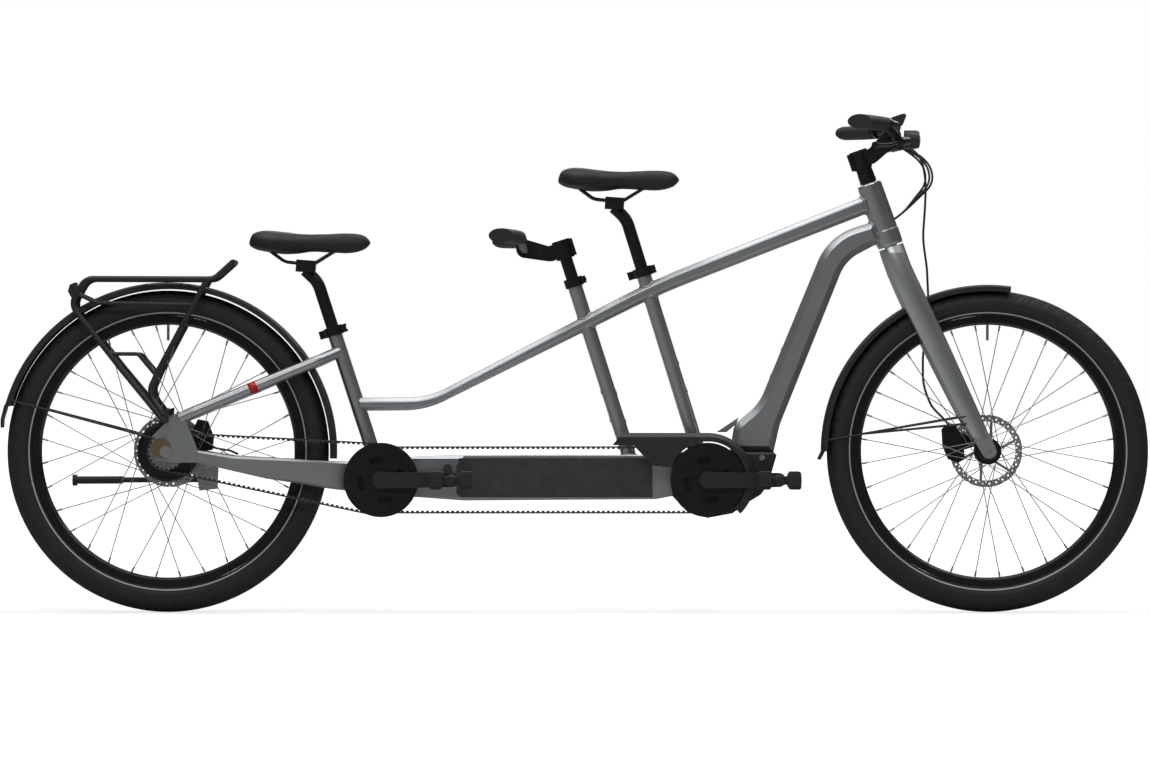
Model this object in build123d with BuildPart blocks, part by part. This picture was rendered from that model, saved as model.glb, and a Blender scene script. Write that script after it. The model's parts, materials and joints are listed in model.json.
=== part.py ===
from build123d import *
import math
import os

os.makedirs("parts", exist_ok=True)

# Tandem e-bike. Millimetres, +X forward, +Y to the rider's left, +Z up.
# The origin is on the ground, midway between the rearmost and the foremost point, in the middle plane.

# ---- driving dimensions ----
# wheels
wheelbase = 1802.0
tyre_radius = 354.0
tyre_width = 62.0
tyre_wall = 4.0
rim_radius = 298.0
rim_depth = 20.0
rim_width = 36.0
spoke_count = 32
spoke_radius = 1.0
front_flange_radius = 29.0
front_flange_y = 29.0
rear_shell_radius = 66.0
rear_flange_y = 33.0
disc_radius = 80.0
disc_band = 15.0
disc_thickness = 1.8
front_disc_y = 44.0
rear_disc_y = 58.0
front_hub_width = 110.0
rear_hub_width = 148.0
front_axle_radius = 7.5
rear_axle_radius = 8.0
running_gap = 0.06
body_gap = 0.3

# drive
bb_drop = 62.0
drive_centres = 474.3
sync_centres = 715.0
belt_pitch = 11.0
sync_teeth = 41
drive_teeth = 45
rear_teeth = 24
belt_width = 12.0
belt_back = 1.8
belt_body = 2.8
drive_line_y = -56.0
sync_line_y = -70.0
spindle_radius = 12.0
crank_length = 155.0
crank_inner_y = 84.0
crank_thickness = 14.0
ring_cover_radius = 81.5
pedal_length = 96.0
pedal_width = 96.0
pedal_height = 40.0
pedal_axle_radius = 5.0
pedal_gap = 5.0

# frame
head_angle = 70.76
fork_offset = 52.0
crown_height = 494.0
head_bottom = 497.0
head_top = 641.0
head_radius = 29.0
head_bore = 22.0
steerer_radius = 14.3
seat_tube_radius = 15.9
post_radius = 13.6
captain_seat_angle = 72.8
stoker_seat_angle = 72.0
bar_tube_angle = 72.25
captain_seat_height = 458.0
stoker_seat_height = 328.0
bar_tube_height = 381.0
bar_tube_setback = 172.0
top_tube_width = 38.0
top_tube_wall = 2.5
top_tube_bevel = 9.0
down_tube_width = 56.0
down_tube_wall = 3.0
down_tube_bevel = 14.0
boom_width = 72.0
boom_wall = 5.0
boom_top_height = 54.0
unit_top_height = 60.0
unit_width = 92.0
shell_radius = 24.0
bearing_radius = 20.0
dropout_thickness = 10.0
stay_radius = 12.5

# fenders, rack and cockpit
rear_fender_radius = 371.0
rear_fender_width = 72.0
front_fender_radius = 366.0
front_fender_width = 63.0
fender_wall = 2.2
flap_reach = 366.3
rack_tube_radius = 6.0
rack_half_width = 62.0
bar_radius = 11.1
bar_clamp_radius = 15.9
captain_bar_half = 335.0
stoker_bar_half = 290.0
grip_length = 128.0
lever_reach = 126.0
kickstand_reach = 300.0
cable_radius = 2.5

# ---- anchor points, all in the middle plane ----
rear_axle = Vector((flap_reach - wheelbase - tyre_radius) / 2, 0, tyre_radius)
front_axle = rear_axle + Vector(wheelbase, 0, 0)
stoker_bb = rear_axle + Vector(math.sqrt(drive_centres**2 - bb_drop**2), 0, -bb_drop)
captain_bb = stoker_bb + Vector(sync_centres, 0, 0)
steer_up = Vector(-math.cos(math.radians(head_angle)), 0, math.sin(math.radians(head_angle)))
steer_ahead = Vector(math.sin(math.radians(head_angle)), 0, math.cos(math.radians(head_angle)))
steer_foot = front_axle - steer_ahead * fork_offset

dropout_y = rear_hub_width / 2
fork_tip_y = front_hub_width / 2
seat_bore = post_radius + running_gap / 2


def aside(point, y):
    """The point moved y across the bike."""
    return point + Vector(0, y, 0)


def off(anchor, x, z, y=0.0):
    """A point x ahead of and z above an anchor."""
    return anchor + Vector(x, y, z)


def steer(along, ahead=0.0, y=0.0):
    """A point in the steering frame: along the axis, ahead of it, and across."""
    return steer_foot + steer_up * along + steer_ahead * ahead + Vector(0, y, 0)


def tube_up(angle):
    """Unit vector up a seat tube that leans back."""
    return Vector(-math.cos(math.radians(angle)), 0, math.sin(math.radians(angle)))


def side_plane(y):
    """Plane of a side view at y; extruding goes towards the right side of the bike."""
    return Plane(origin=(0, y, 0), x_dir=(1, 0, 0), z_dir=(0, -1, 0))


def flat(points):
    """Side-view coordinates of a list of points."""
    return [(p.X, p.Z) for p in points]


def wheel_plane(axle):
    """Plane through an axle for profiles given as (radius, y)."""
    return Plane(origin=axle, x_dir=(1, 0, 0), z_dir=(0, 0, 1))


def rod(start, end, radius, bore=0.0):
    """Straight round bar or tube between two points."""
    with BuildPart(mode=Mode.PRIVATE) as bar:
        with BuildSketch(Plane(origin=start, z_dir=end - start)):
            Circle(radius)
            if bore > 0:
                Circle(bore, mode=Mode.SUBTRACT)
        extrude(amount=(end - start).length)
    return bar.part


def corner_radii(points, most):
    """As large an arc at each corner as its two runs allow, up to most."""
    radii = []
    for before, here, after in zip(points, points[1:], points[2:]):
        turn = (here - before).get_angle(after - here)
        run = min((here - before).length, (after - here).length)
        radii.append(min(most, 0.45 * run / math.tan(math.radians(turn / 2))))
    return radii


def bent_tube(points, radius, most=1000.0):
    """Round bar along straight runs joined by tangent arcs."""
    with BuildLine(mode=Mode.PRIVATE) as route:
        if len(points) > 2:
            FilletPolyline(*points, radius=corner_radii(points, most))
        else:
            Line(points[0], points[1])
    with BuildPart(mode=Mode.PRIVATE) as bar:
        with BuildSketch(Plane(origin=points[0], z_dir=points[1] - points[0])):
            Circle(radius)
        sweep(path=route.wires()[0])
    return bar.part


def slab(outline, y, thickness):
    """Side-view outline made into a plate from y towards the right by thickness."""
    with BuildPart(mode=Mode.PRIVATE) as plate:
        with BuildSketch(side_plane(y)):
            with BuildLine():
                Polyline(*flat(outline), close=True)
            make_face()
        extrude(amount=thickness)
    return plate.part


def disc(centre, y, thickness, radius, bore=0.0):
    """Flat ring in a side view, from y towards the right by thickness."""
    return rod(aside(centre, y), aside(centre, y - thickness), radius, bore)


def link(start, end, start_radius, end_radius, y, thickness):
    """Flat bar with round ends in a side view."""
    with BuildPart(mode=Mode.PRIVATE) as bar:
        with BuildSketch(side_plane(y)):
            with Locations((start.X, start.Z)):
                Circle(start_radius)
            with Locations((end.X, end.Z)):
                Circle(end_radius)
            make_hull()
        extrude(amount=thickness)
    return bar.part


def write(part, name):
    """Label a finished piece and write its STEP file."""
    part.label = name
    export_step(part, f"parts/{name}.step")


def write_group(pieces, name):
    """Write several separate solids as one node."""
    solids = [solid for piece in pieces for solid in piece.solids()]
    write(Compound(children=solids), name)


# ---- wheels ----
def make_tyre(axle, name):
    section = tyre_width / 2
    section_centre = tyre_radius - section
    with BuildPart() as tyre:
        with BuildSketch(wheel_plane(axle)):
            with Locations((section_centre, 0)):
                Circle(section)
                Circle(section - tyre_wall, mode=Mode.SUBTRACT)
            with Locations((rim_radius - section, 0)):
                Rectangle(2 * section, 2 * section, mode=Mode.SUBTRACT)
        revolve(axis=Axis(axle, (0, 1, 0)))
    write(tyre.part, name)


def make_rim(axle, name):
    half = rim_width / 2
    inner = rim_radius - rim_depth
    with BuildPart() as rim:
        with BuildSketch(wheel_plane(axle)):
            with BuildLine():
                Polyline(
                    (inner, -half * 0.45), (inner + 5, -half), (rim_radius, -half),
                    (rim_radius, -half + 2.5),
                    (rim_radius - 7, -half + 3.5), (rim_radius - 9, -half * 0.4),
                    (rim_radius - 9, half * 0.4),
                    (rim_radius - 7, half - 3.5), (rim_radius, half - 2.5), (rim_radius, half),
                    (inner + 5, half), (inner, half * 0.45), close=True)
            make_face()
            with BuildLine():
                Polyline(
                    (inner + 2, -half * 0.4), (inner + 6, -half + 2), (rim_radius - 11, -half * 0.5),
                    (rim_radius - 11, half * 0.5), (inner + 6, half - 2), (inner + 2, half * 0.4),
                    close=True)
            make_face(mode=Mode.SUBTRACT)
        revolve(axis=Axis(axle, (0, 1, 0)))
    write(rim.part, name)


def make_spokes(axle, flange_radius, flange_y, name):
    nipple_length = 12.0
    nipple_radius = 2.0
    tip_radius = rim_radius - rim_depth - 0.8
    elbow = 2.3
    start_radius = flange_radius + body_gap + spoke_radius
    lean = 4.5 * 360 / spoke_count
    pieces = []
    for number in range(spoke_count):
        side = 1 if number % 2 else -1
        trail = 1 if (number // 2) % 2 else -1
        rim_angle = math.radians((number + 0.5) * 360 / spoke_count)
        hub_angle = rim_angle + math.radians(trail * lean)
        start = axle + Vector(math.cos(hub_angle), 0, math.sin(hub_angle)) * start_radius
        tip = axle + Vector(math.cos(rim_angle), 0, math.sin(rim_angle)) * tip_radius
        start = aside(start, side * (flange_y + trail * elbow))
        inward = (start - tip).normalized()
        pieces.append(rod(start, tip, spoke_radius) + rod(tip, tip + inward * nipple_length, nipple_radius))
    valve_foot = off(axle, 0, rim_radius - rim_depth - body_gap)
    pieces.append(rod(valve_foot, off(valve_foot, 0, -34), 3.0))
    write_group(pieces, name)


def make_disc(axle, y, hub_radius, name):
    arm_count = 6
    hole_count = 30
    band_middle = disc_radius - disc_band / 2
    with BuildPart() as rotor:
        with BuildSketch(side_plane(y + disc_thickness / 2)):
            with Locations((axle.X, axle.Z)):
                Circle(disc_radius)
                Circle(disc_radius - disc_band, mode=Mode.SUBTRACT)
                with PolarLocations(disc_radius + 4.0, arm_count * 2):
                    Circle(5.5, mode=Mode.SUBTRACT)
                with PolarLocations(band_middle, hole_count):
                    Circle(2.2, mode=Mode.SUBTRACT)
                with PolarLocations(band_middle - 4.4, hole_count, start_angle=6):
                    Circle(1.6, mode=Mode.SUBTRACT)
                Circle(hub_radius + 6)
                with PolarLocations(hub_radius + 3, arm_count):
                    with Locations(Location((0, 0, 0), (0, 0, 1), 28)):
                        SlotCenterPoint((disc_radius / 2 - hub_radius / 2 - 8, 0),
                                        (disc_radius - hub_radius - 16, 0), 6)
                Circle(hub_radius, mode=Mode.SUBTRACT)
        extrude(amount=disc_thickness)
    write(rotor.part, name)


make_tyre(rear_axle, "rear_tyre")
make_tyre(front_axle, "front_tyre")
make_rim(rear_axle, "rear_rim")
make_rim(front_axle, "front_rim")
make_spokes(rear_axle, rear_shell_radius, rear_flange_y, "rear_spokes")
make_spokes(front_axle, front_flange_radius, front_flange_y, "front_spokes")

front_seat_radius = 17.0
rear_seat_radius = 19.0
make_disc(front_axle, front_disc_y, front_seat_radius, "front_disc")
make_disc(rear_axle, rear_disc_y, rear_seat_radius, "rear_disc")

# front hub: shell with two spoke flanges, a disc seat on the left and a wide end cap on the right
front_end = fork_tip_y - body_gap
with BuildPart() as front_hub:
    with BuildSketch(wheel_plane(front_axle)):
        with BuildLine():
            Polyline(
                (front_axle_radius + running_gap, -front_end), (12, -front_end), (23, -front_end + 3),
                (23, -front_end + 11), (17, -front_end + 14), (17, -front_flange_y - 2),
                (front_flange_radius, -front_flange_y - 2), (front_flange_radius, -front_flange_y + 1.5),
                (18, -front_flange_y + 5), (18, front_flange_y - 5),
                (front_flange_radius, front_flange_y - 1.5), (front_flange_radius, front_flange_y + 2),
                (21, front_flange_y + 4), (21, front_disc_y - disc_thickness / 2),
                (front_seat_radius, front_disc_y - disc_thickness / 2),
                (front_seat_radius, front_disc_y + 4),
                (12, front_disc_y + 5), (12, front_end), (front_axle_radius + running_gap, front_end),
                close=True)
        make_face()
    revolve(axis=Axis(front_axle, (0, 1, 0)))
write(front_hub.part, "front_hub")

# rear hub: large gear-hub shell with the disc seat on the left
with BuildPart() as rear_hub:
    with BuildSketch(wheel_plane(rear_axle)):
        with BuildLine():
            Polyline(
                (rear_axle_radius + running_gap, -46), (30, -46), (36, -43), (57, -41), (60, -37),
                (rear_shell_radius, -rear_flange_y - 2), (rear_shell_radius, -rear_flange_y + 2),
                (60, -rear_flange_y + 6), (60, rear_flange_y - 6), (rear_shell_radius, rear_flange_y - 2),
                (rear_shell_radius, rear_flange_y + 2), (58, 39), (36, 44), (26, 48),
                (26, rear_disc_y - disc_thickness / 2), (rear_seat_radius, rear_disc_y - disc_thickness / 2),
                (rear_seat_radius, rear_disc_y + 4), (rear_axle_radius + running_gap, rear_disc_y + 6),
                close=True)
        make_face()
    revolve(axis=Axis(rear_axle, (0, 1, 0)))
write(rear_hub.part, "rear_hub")


# ---- drive ----
def toothed_ring(centre, line_y, teeth, bore):
    """Belt sprocket ring: one round gap for each belt tooth."""
    pitch_radius = teeth * belt_pitch / (2 * math.pi)
    with BuildPart(mode=Mode.PRIVATE) as ring:
        with BuildSketch(side_plane(line_y + belt_width / 2)):
            with Locations((centre.X, centre.Z)):
                Circle(pitch_radius - belt_body + belt_back - body_gap)
                with PolarLocations(pitch_radius - 2.2, teeth):
                    Circle(2.6, mode=Mode.SUBTRACT)
                Circle(bore, mode=Mode.SUBTRACT)
        extrude(amount=belt_width)
    return ring.part


def ring_cover(centre, y, thickness, boss_radius):
    """Round cover disc with four windows and a hole for the crank boss."""
    with BuildPart(mode=Mode.PRIVATE) as cover:
        with BuildSketch(side_plane(y)):
            with Locations((centre.X, centre.Z)):
                Circle(ring_cover_radius)
                Circle(boss_radius, mode=Mode.SUBTRACT)
                with PolarLocations(44, 4, start_angle=12):
                    SlotOverall(30, 13, rotation=90, mode=Mode.SUBTRACT)
        extrude(amount=thickness)
    return cover.part


boss_radius = 20.0
cover_thickness = 3.5
cover_y = sync_line_y - belt_width / 2 - 3.0
web_thickness = 3.0
ring_bolt_circle = 48.6
ring_bolt_radius = 5.0


def ring_set(centre, rings):
    """Toothed rings on one spider, with four bolt spacers and the outer cover."""
    inner_y = max(line for line, teeth in rings) + belt_width / 2
    parts = []
    for line, teeth in rings:
        pitch_radius = teeth * belt_pitch / (2 * math.pi)
        parts.append(toothed_ring(centre, line, teeth, pitch_radius - 10))
        parts.append(disc(centre, line + web_thickness / 2, web_thickness, pitch_radius - 9, boss_radius))
    for turn in range(4):
        angle = math.radians(37 + 90 * turn)
        spot = centre + Vector(math.cos(angle), 0, math.sin(angle)) * ring_bolt_circle
        parts.append(rod(aside(spot, inner_y), aside(spot, cover_y - cover_thickness), ring_bolt_radius))
    parts.append(ring_cover(centre, cover_y, cover_thickness, boss_radius))
    with BuildPart(mode=Mode.PRIVATE) as rings_part:
        add(parts)
    return rings_part.part


write(ring_set(captain_bb, [(sync_line_y, sync_teeth)]), "captain_chainring")
write(ring_set(stoker_bb, [(sync_line_y, sync_teeth), (drive_line_y, drive_teeth)]), "stoker_chainrings")

with BuildPart() as rear_sprocket:
    add(toothed_ring(rear_axle, drive_line_y, rear_teeth, rear_axle_radius + 14))
    add(disc(rear_axle, -48.0, 22.0, rear_axle_radius + 14, rear_axle_radius + running_gap))
write(rear_sprocket.part, "rear_sprocket")


def make_belt(first, second, first_teeth, second_teeth, line_y, name):
    """Closed belt round two sprockets, plain inside; its back stands outside the pitch line."""
    loops = []
    for shift in (belt_back, belt_back - belt_body):
        with BuildPart(mode=Mode.PRIVATE) as loop:
            with BuildSketch(side_plane(line_y + belt_width / 2)):
                with Locations((first.X, first.Z)):
                    Circle(first_teeth * belt_pitch / (2 * math.pi) + shift)
                with Locations((second.X, second.Z)):
                    Circle(second_teeth * belt_pitch / (2 * math.pi) + shift)
                make_hull()
            extrude(amount=belt_width)
        loops.append(loop.part)
    with BuildPart() as belt:
        add(loops[0])
        add(loops[1], mode=Mode.SUBTRACT)
    write(belt.part, name)


make_belt(rear_axle, stoker_bb, rear_teeth, drive_teeth, drive_line_y, "drive_belt")
make_belt(stoker_bb, captain_bb, sync_teeth, sync_teeth, sync_line_y, "sync_belt")


def make_cranks(bb, name):
    """Spindle with the right arm pointing ahead and the left arm behind, and both pedal axles."""
    parts = [rod(aside(bb, crank_inner_y), aside(bb, -crank_inner_y), spindle_radius)]
    parts.append(disc(bb, -crank_inner_y + 22, 22, boss_radius))
    for side in (-1, 1):
        pedal_spot = off(bb, -side * crank_length, 0)
        outer_y = side * (crank_inner_y + crank_thickness)
        high_y = max(side * crank_inner_y, outer_y)
        parts.append(link(bb, pedal_spot, 18, 15.5, high_y, crank_thickness))
        axle_end = side * (crank_inner_y + crank_thickness + pedal_gap + pedal_width - 8)
        parts.append(rod(aside(pedal_spot, side * crank_inner_y), aside(pedal_spot, axle_end),
                         pedal_axle_radius))
    with BuildPart() as cranks:
        add(parts)
    write(cranks.part, name)


make_cranks(captain_bb, "captain_cranks")
make_cranks(stoker_bb, "stoker_cranks")


def make_pedal(bb, side, name):
    """Block pedal: two rubber treads on a bored body that turns on its axle."""
    spot = off(bb, -side * crank_length, 0)
    near_y = crank_inner_y + crank_thickness + pedal_gap
    high_y = max(side * near_y, side * (near_y + pedal_width))
    with BuildPart() as pedal:
        with BuildSketch(side_plane(high_y)):
            with Locations((spot.X, spot.Z)):
                Rectangle(pedal_length, pedal_height)
                with GridLocations(pedal_length * 0.62, 0, 2, 1):
                    Rectangle(pedal_length * 0.2, pedal_height * 0.45, mode=Mode.SUBTRACT)
        extrude(amount=pedal_width)
        fillet(pedal.edges().filter_by(Axis.Y).group_by(SortBy.DISTANCE)[-1], 9)
        with Locations(Location((spot.X, side * (near_y + pedal_width / 2 - 4), spot.Z), (1, 0, 0), 90)):
            Cylinder(pedal_axle_radius + running_gap, pedal_width - 8 + 2 * running_gap, mode=Mode.SUBTRACT)
    write(pedal.part, name)


for rider, bb in (("captain", captain_bb), ("stoker", stoker_bb)):
    make_pedal(bb, -1, f"{rider}_pedal_right")
    make_pedal(bb, 1, f"{rider}_pedal_left")

# ---- frame tubes ----
captain_up = tube_up(captain_seat_angle)
stoker_up = tube_up(stoker_seat_angle)
bar_up = tube_up(bar_tube_angle)
captain_seat = captain_bb + captain_up * (captain_seat_height / captain_up.Z)
stoker_seat = stoker_bb + stoker_up * (stoker_seat_height / stoker_up.Z)
captain_foot = captain_bb + captain_up * (unit_top_height / captain_up.Z)
bar_foot = off(captain_bb, -bar_tube_setback, boom_top_height)
bar_seat = bar_foot + bar_up * (bar_tube_height / bar_up.Z)
head_blank = rod(steer(head_bottom), steer(head_top), head_radius)
captain_blank = rod(captain_bb, captain_seat, seat_tube_radius)
bar_blank = rod(bar_foot, bar_seat, seat_tube_radius)
stoker_blank = rod(stoker_bb, stoker_seat, seat_tube_radius)
shell_blank = rod(aside(stoker_bb, boom_width), aside(stoker_bb, -boom_width), shell_radius)
foot_block = 60.0
captain_foot_cut = Pos(captain_foot.X, 0, captain_foot.Z - foot_block / 2) * Box(120, 60, foot_block)
bar_foot_cut = Pos(bar_foot.X, 0, bar_foot.Z - foot_block / 2) * Box(120, 60, foot_block)

# threaded inserts for bottle cages: (point on the tube's surface, outward direction)
boss_spacing = 64.0
boss_bore = 2.5
boss_radius_out = 4.5
captain_ahead = Vector(captain_up.Z, 0, -captain_up.X)
bar_ahead = Vector(bar_up.Z, 0, -bar_up.X)
down_axis = (off(front_axle, -349, 475) - off(captain_bb, 115, 167)).normalized()
down_out = Vector(-down_axis.Z, 0, down_axis.X)
bosses = []
for number in range(2):
    climb = number * boss_spacing
    bosses.append((captain_bb + captain_up * (202 + climb) + captain_ahead * seat_tube_radius,
                   captain_ahead))
    bosses.append((bar_foot + bar_up * (76 + climb) + bar_ahead * seat_tube_radius, bar_ahead))
    bosses.append((bar_foot + bar_up * (86 + climb) - bar_ahead * seat_tube_radius, bar_ahead * -1))
    bosses.append((off(captain_bb, 115, 167) + down_axis * (67 + climb), down_out))
boss_cuts = [rod(spot - out * 8, spot + out * 4, boss_radius_out) for spot, out in bosses]

captain_tube = rod(captain_foot - captain_up * 12, captain_seat, seat_tube_radius, seat_bore)
bar_tube = rod(bar_foot - bar_up * 12, bar_seat, seat_tube_radius, seat_bore)
stoker_tube = rod(stoker_bb, stoker_seat, seat_tube_radius, seat_bore)
with BuildPart() as seat_tubes:
    add(captain_tube - captain_foot_cut)
    add(bar_tube - bar_foot_cut)
    add(stoker_tube - shell_blank)
    add(boss_cuts, mode=Mode.SUBTRACT)
write(seat_tubes.part, "seat_tubes")

# head tube with its two bearings
with BuildPart() as head_shell:
    with BuildSketch(Plane(origin=steer_foot, x_dir=steer_ahead, z_dir=(0, -1, 0))):
        with BuildLine():
            Polyline(
                (head_bore, head_bottom), (head_radius - 2, head_bottom), (head_radius, head_bottom + 6),
                (head_radius, head_bottom + 34), (head_radius - 1, head_bottom + 37),
                (head_radius - 2, head_top - 3), (head_radius - 4, head_top), (head_bore, head_top),
                close=True)
        make_face()
    revolve(axis=Axis(steer_foot, steer_up))
bearing_bore = steerer_radius + running_gap
lower_bearing = rod(steer(head_bottom + 1), steer(head_bottom + 9), head_bore, bearing_bore)
upper_bearing = rod(steer(head_top - 9), steer(head_top - 1), head_bore, bearing_bore)
write_group([head_shell.part, lower_bearing, upper_bearing], "head_tube")


def box_tube(upper, lower, upper_radii, lower_radii, width, wall, bevel):
    """Hollow box section between an upper and a lower edge line, with bevelled long edges."""
    shells = []
    for inset in (0.0, wall):
        with BuildPart(mode=Mode.PRIVATE) as shell:
            with BuildSketch(side_plane(width / 2 - inset)):
                with BuildLine():
                    top_edge = FilletPolyline(*flat(upper), radius=upper_radii)
                    low_edge = FilletPolyline(*flat(lower), radius=lower_radii)
                    Line(top_edge @ 1, low_edge @ 0)
                    Line(low_edge @ 1, top_edge @ 0)
                make_face()
                if inset:
                    offset(amount=-inset)
            extrude(amount=width - 2 * inset)
            long_edges = shell.faces().filter_by(Axis.Y).edges()
            chamfer(long_edges, bevel - inset * (2 - math.sqrt(2)))
        shells.append(shell.part)
    return shells[0] - shells[1]


# top tube: from the head tube down and back to the stoker's seat tube
top_blank = box_tube(
    [steer(head_top - 22, -14), off(captain_bb, -118, 439), off(stoker_bb, 103, 181),
     off(stoker_bb, -52, 180)],
    [off(stoker_bb, -48, 151), off(stoker_bb, 96, 152), off(captain_bb, -104, 407),
     steer(head_top - 60, -14)],
    [1600, 180], [200, 1600], top_tube_width, top_tube_wall, top_tube_bevel)
write(top_blank - captain_blank - bar_blank - stoker_blank - head_blank, "top_tube")

# down tube: leaves the head tube, turns down and flares onto the drive unit
down_blank = box_tube(
    [steer(head_bottom + 62, -16), off(front_axle, -349, 475), off(captain_bb, 115, 167),
     off(captain_bb, 60, 120), off(captain_bb, 50, unit_top_height)],
    [off(captain_bb, 146, unit_top_height), off(captain_bb, 160, 122), off(front_axle, -312, 420),
     steer(head_bottom + 15, -16)],
    [130, 110, 30], [100, 92], down_tube_width, down_tube_wall, down_tube_bevel)
with BuildPart() as down_tube:
    add(down_blank - head_blank)
    add(boss_cuts, mode=Mode.SUBTRACT)
write(down_tube.part, "down_tube")

# boom: hollow bottom tube with a window for the battery, the stoker's axle shell and its bearings
battery_length = 429.0
battery_front = off(captain_bb, -121, 0)
battery_back = off(battery_front, -battery_length, 0)
battery_low = -39.0
battery_high = 52.0
boom_outline = [
    off(stoker_bb, -30, 46), off(stoker_bb, 170, boom_top_height), off(captain_bb, -77, boom_top_height),
    off(captain_bb, -77, -36), off(captain_bb, -113, -43), off(stoker_bb, 180, -46), off(stoker_bb, 73, -38),
    off(stoker_bb, -30, -30),
]

def boom_section(inset, bevel):
    """The boom's outline and its bevelled cross-section, both moved in by a wall."""
    low_z = captain_bb.Z - 46 + inset
    high_z = captain_bb.Z + boom_top_height - inset
    width = boom_width - 2 * inset
    with BuildPart(mode=Mode.PRIVATE) as side_view:
        with BuildSketch(side_plane(width / 2)):
            with BuildLine():
                Polyline(*flat(boom_outline), close=True)
            make_face()
            if inset:
                offset(amount=-inset)
        extrude(amount=width)
    with BuildPart(mode=Mode.PRIVATE) as front_view:
        with BuildSketch(Plane(origin=(stoker_bb.X - 100, 0, (low_z + high_z) / 2), x_dir=(0, 1, 0),
                               z_dir=(1, 0, 0))):
            section = Rectangle(width, high_z - low_z)
            chamfer(section.vertices(), bevel)
        extrude(amount=sync_centres + 200)
    return side_view.part & front_view.part


boom_shell = boom_section(0.0, 8.0)
boom_core = boom_section(boom_wall, 5.0)
boom_cavity = boom_core - shell_blank
window_edge = 5.0
boom_window = slab(
    [off(battery_back, window_edge, battery_low + window_edge),
     off(battery_front, -window_edge, battery_low + window_edge),
     off(battery_front, -window_edge, battery_high - window_edge),
     off(battery_back, window_edge, battery_high - window_edge)],
    -boom_width / 2 + boom_wall + 2, boom_wall + 6)
shell_hollow = rod(aside(stoker_bb, boom_width), aside(stoker_bb, -boom_width), bearing_radius)
boom_body = boom_shell - boom_cavity - boom_window - stoker_blank - shell_hollow
spindle_bore = spindle_radius + running_gap
bearing_out = boom_width / 2 + 6
left_bearing = rod(aside(stoker_bb, 20), aside(stoker_bb, bearing_out), bearing_radius, spindle_bore)
right_bearing = rod(aside(stoker_bb, -20), aside(stoker_bb, -bearing_out), bearing_radius, spindle_bore)
write_group([boom_body, left_bearing, right_bearing], "boom_tube")

# battery: a body inside the boom and a wider lid over the window
battery_gap = 2.0
lid_thickness = 8.0
inner_edge = window_edge + battery_gap
battery_body = slab(
    [off(battery_back, inner_edge, battery_low + inner_edge),
     off(battery_front, -inner_edge, battery_low + inner_edge),
     off(battery_front, -inner_edge, battery_high - inner_edge),
     off(battery_back, inner_edge, battery_high - inner_edge)],
    boom_width / 2 - boom_wall - 3, boom_width - boom_wall - 3)
with BuildPart() as battery_lid:
    with BuildSketch(side_plane(-boom_width / 2)):
        with BuildLine():
            Polyline(*flat([
                off(battery_back, 8, battery_low), off(battery_front, 0, battery_low),
                off(battery_front, 0, battery_high), off(battery_back, 16, battery_high),
                off(battery_back, 0, battery_high - 20), off(battery_back, 0, battery_low + 8)]), close=True)
        make_face()
    extrude(amount=lid_thickness)
    chamfer(battery_lid.faces().sort_by(Axis.Y)[0].edges().filter_by(lambda edge: edge.length > 100), 5)
with BuildPart() as battery:
    add(battery_body)
    add(battery_lid.part)
    add(disc(off(battery_back, -20, 24), -boom_width / 2, 5, 10))
write(battery.part, "battery")

# drive unit round the captain's spindle
with BuildPart() as drive_unit:
    with BuildSketch(side_plane(unit_width / 2)):
        with BuildLine():
            Polyline(*flat([
                off(captain_bb, -77, -36), off(captain_bb, -45, -70), off(captain_bb, 0, -84),
                off(captain_bb, 55, -74), off(captain_bb, 89, -50), off(captain_bb, 117, -33),
                off(captain_bb, 133, -12), off(captain_bb, 145, 30), off(captain_bb, 152, 54),
                off(captain_bb, 146, unit_top_height), off(captain_bb, -77, unit_top_height)]), close=True)
        make_face()
    extrude(amount=unit_width)
    fillet(drive_unit.faces().sort_by(Axis.Y)[0].edges(), 5)
    fillet(drive_unit.faces().sort_by(Axis.Y)[-1].edges(), 5)
spindle_hole = rod(aside(captain_bb, unit_width), aside(captain_bb, -unit_width), spindle_bore)
write(drive_unit.part - spindle_hole, "drive_unit")

# belt guard: a bevelled cover over the top run and round the front of the captain's ring
guard_radius = 103.0
guard_wall = 3.0
guard_out_y = sync_line_y - belt_width / 2 - 7.0
guard_in_y = -unit_width / 2 - 6.0
guard_depth = guard_in_y - guard_out_y


def guard_profile(inset, y, depth, bevel):
    """The guard's outline moved in by a wall, bevelled on the outer side."""
    arc_end = math.radians(-46)
    arc_middle = math.radians(22)
    top = off(captain_bb, 0, guard_radius)
    middle = off(captain_bb, guard_radius * math.cos(arc_middle), guard_radius * math.sin(arc_middle))
    low = off(captain_bb, guard_radius * math.cos(arc_end), guard_radius * math.sin(arc_end))
    with BuildPart(mode=Mode.PRIVATE) as block:
        with BuildSketch(side_plane(y)):
            with BuildLine():
                ThreePointArc(*flat([top, middle, low]))
                Polyline(*flat([
                    low, captain_bb, off(captain_bb, -67, 25), off(captain_bb, -121, 32),
                    off(captain_bb, -163, 76),
                    off(captain_bb, -208, 76), off(captain_bb, -187, guard_radius), top]))
            make_face()
            if inset:
                offset(amount=-inset)
        extrude(amount=depth)
        outer_side = block.faces().filter_by(Axis.Y).sort_by(Axis.Y)[0]
        chamfer(outer_side.edges().filter_by(lambda edge: edge.length > guard_radius + 10), bevel)
    return block.part


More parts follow.
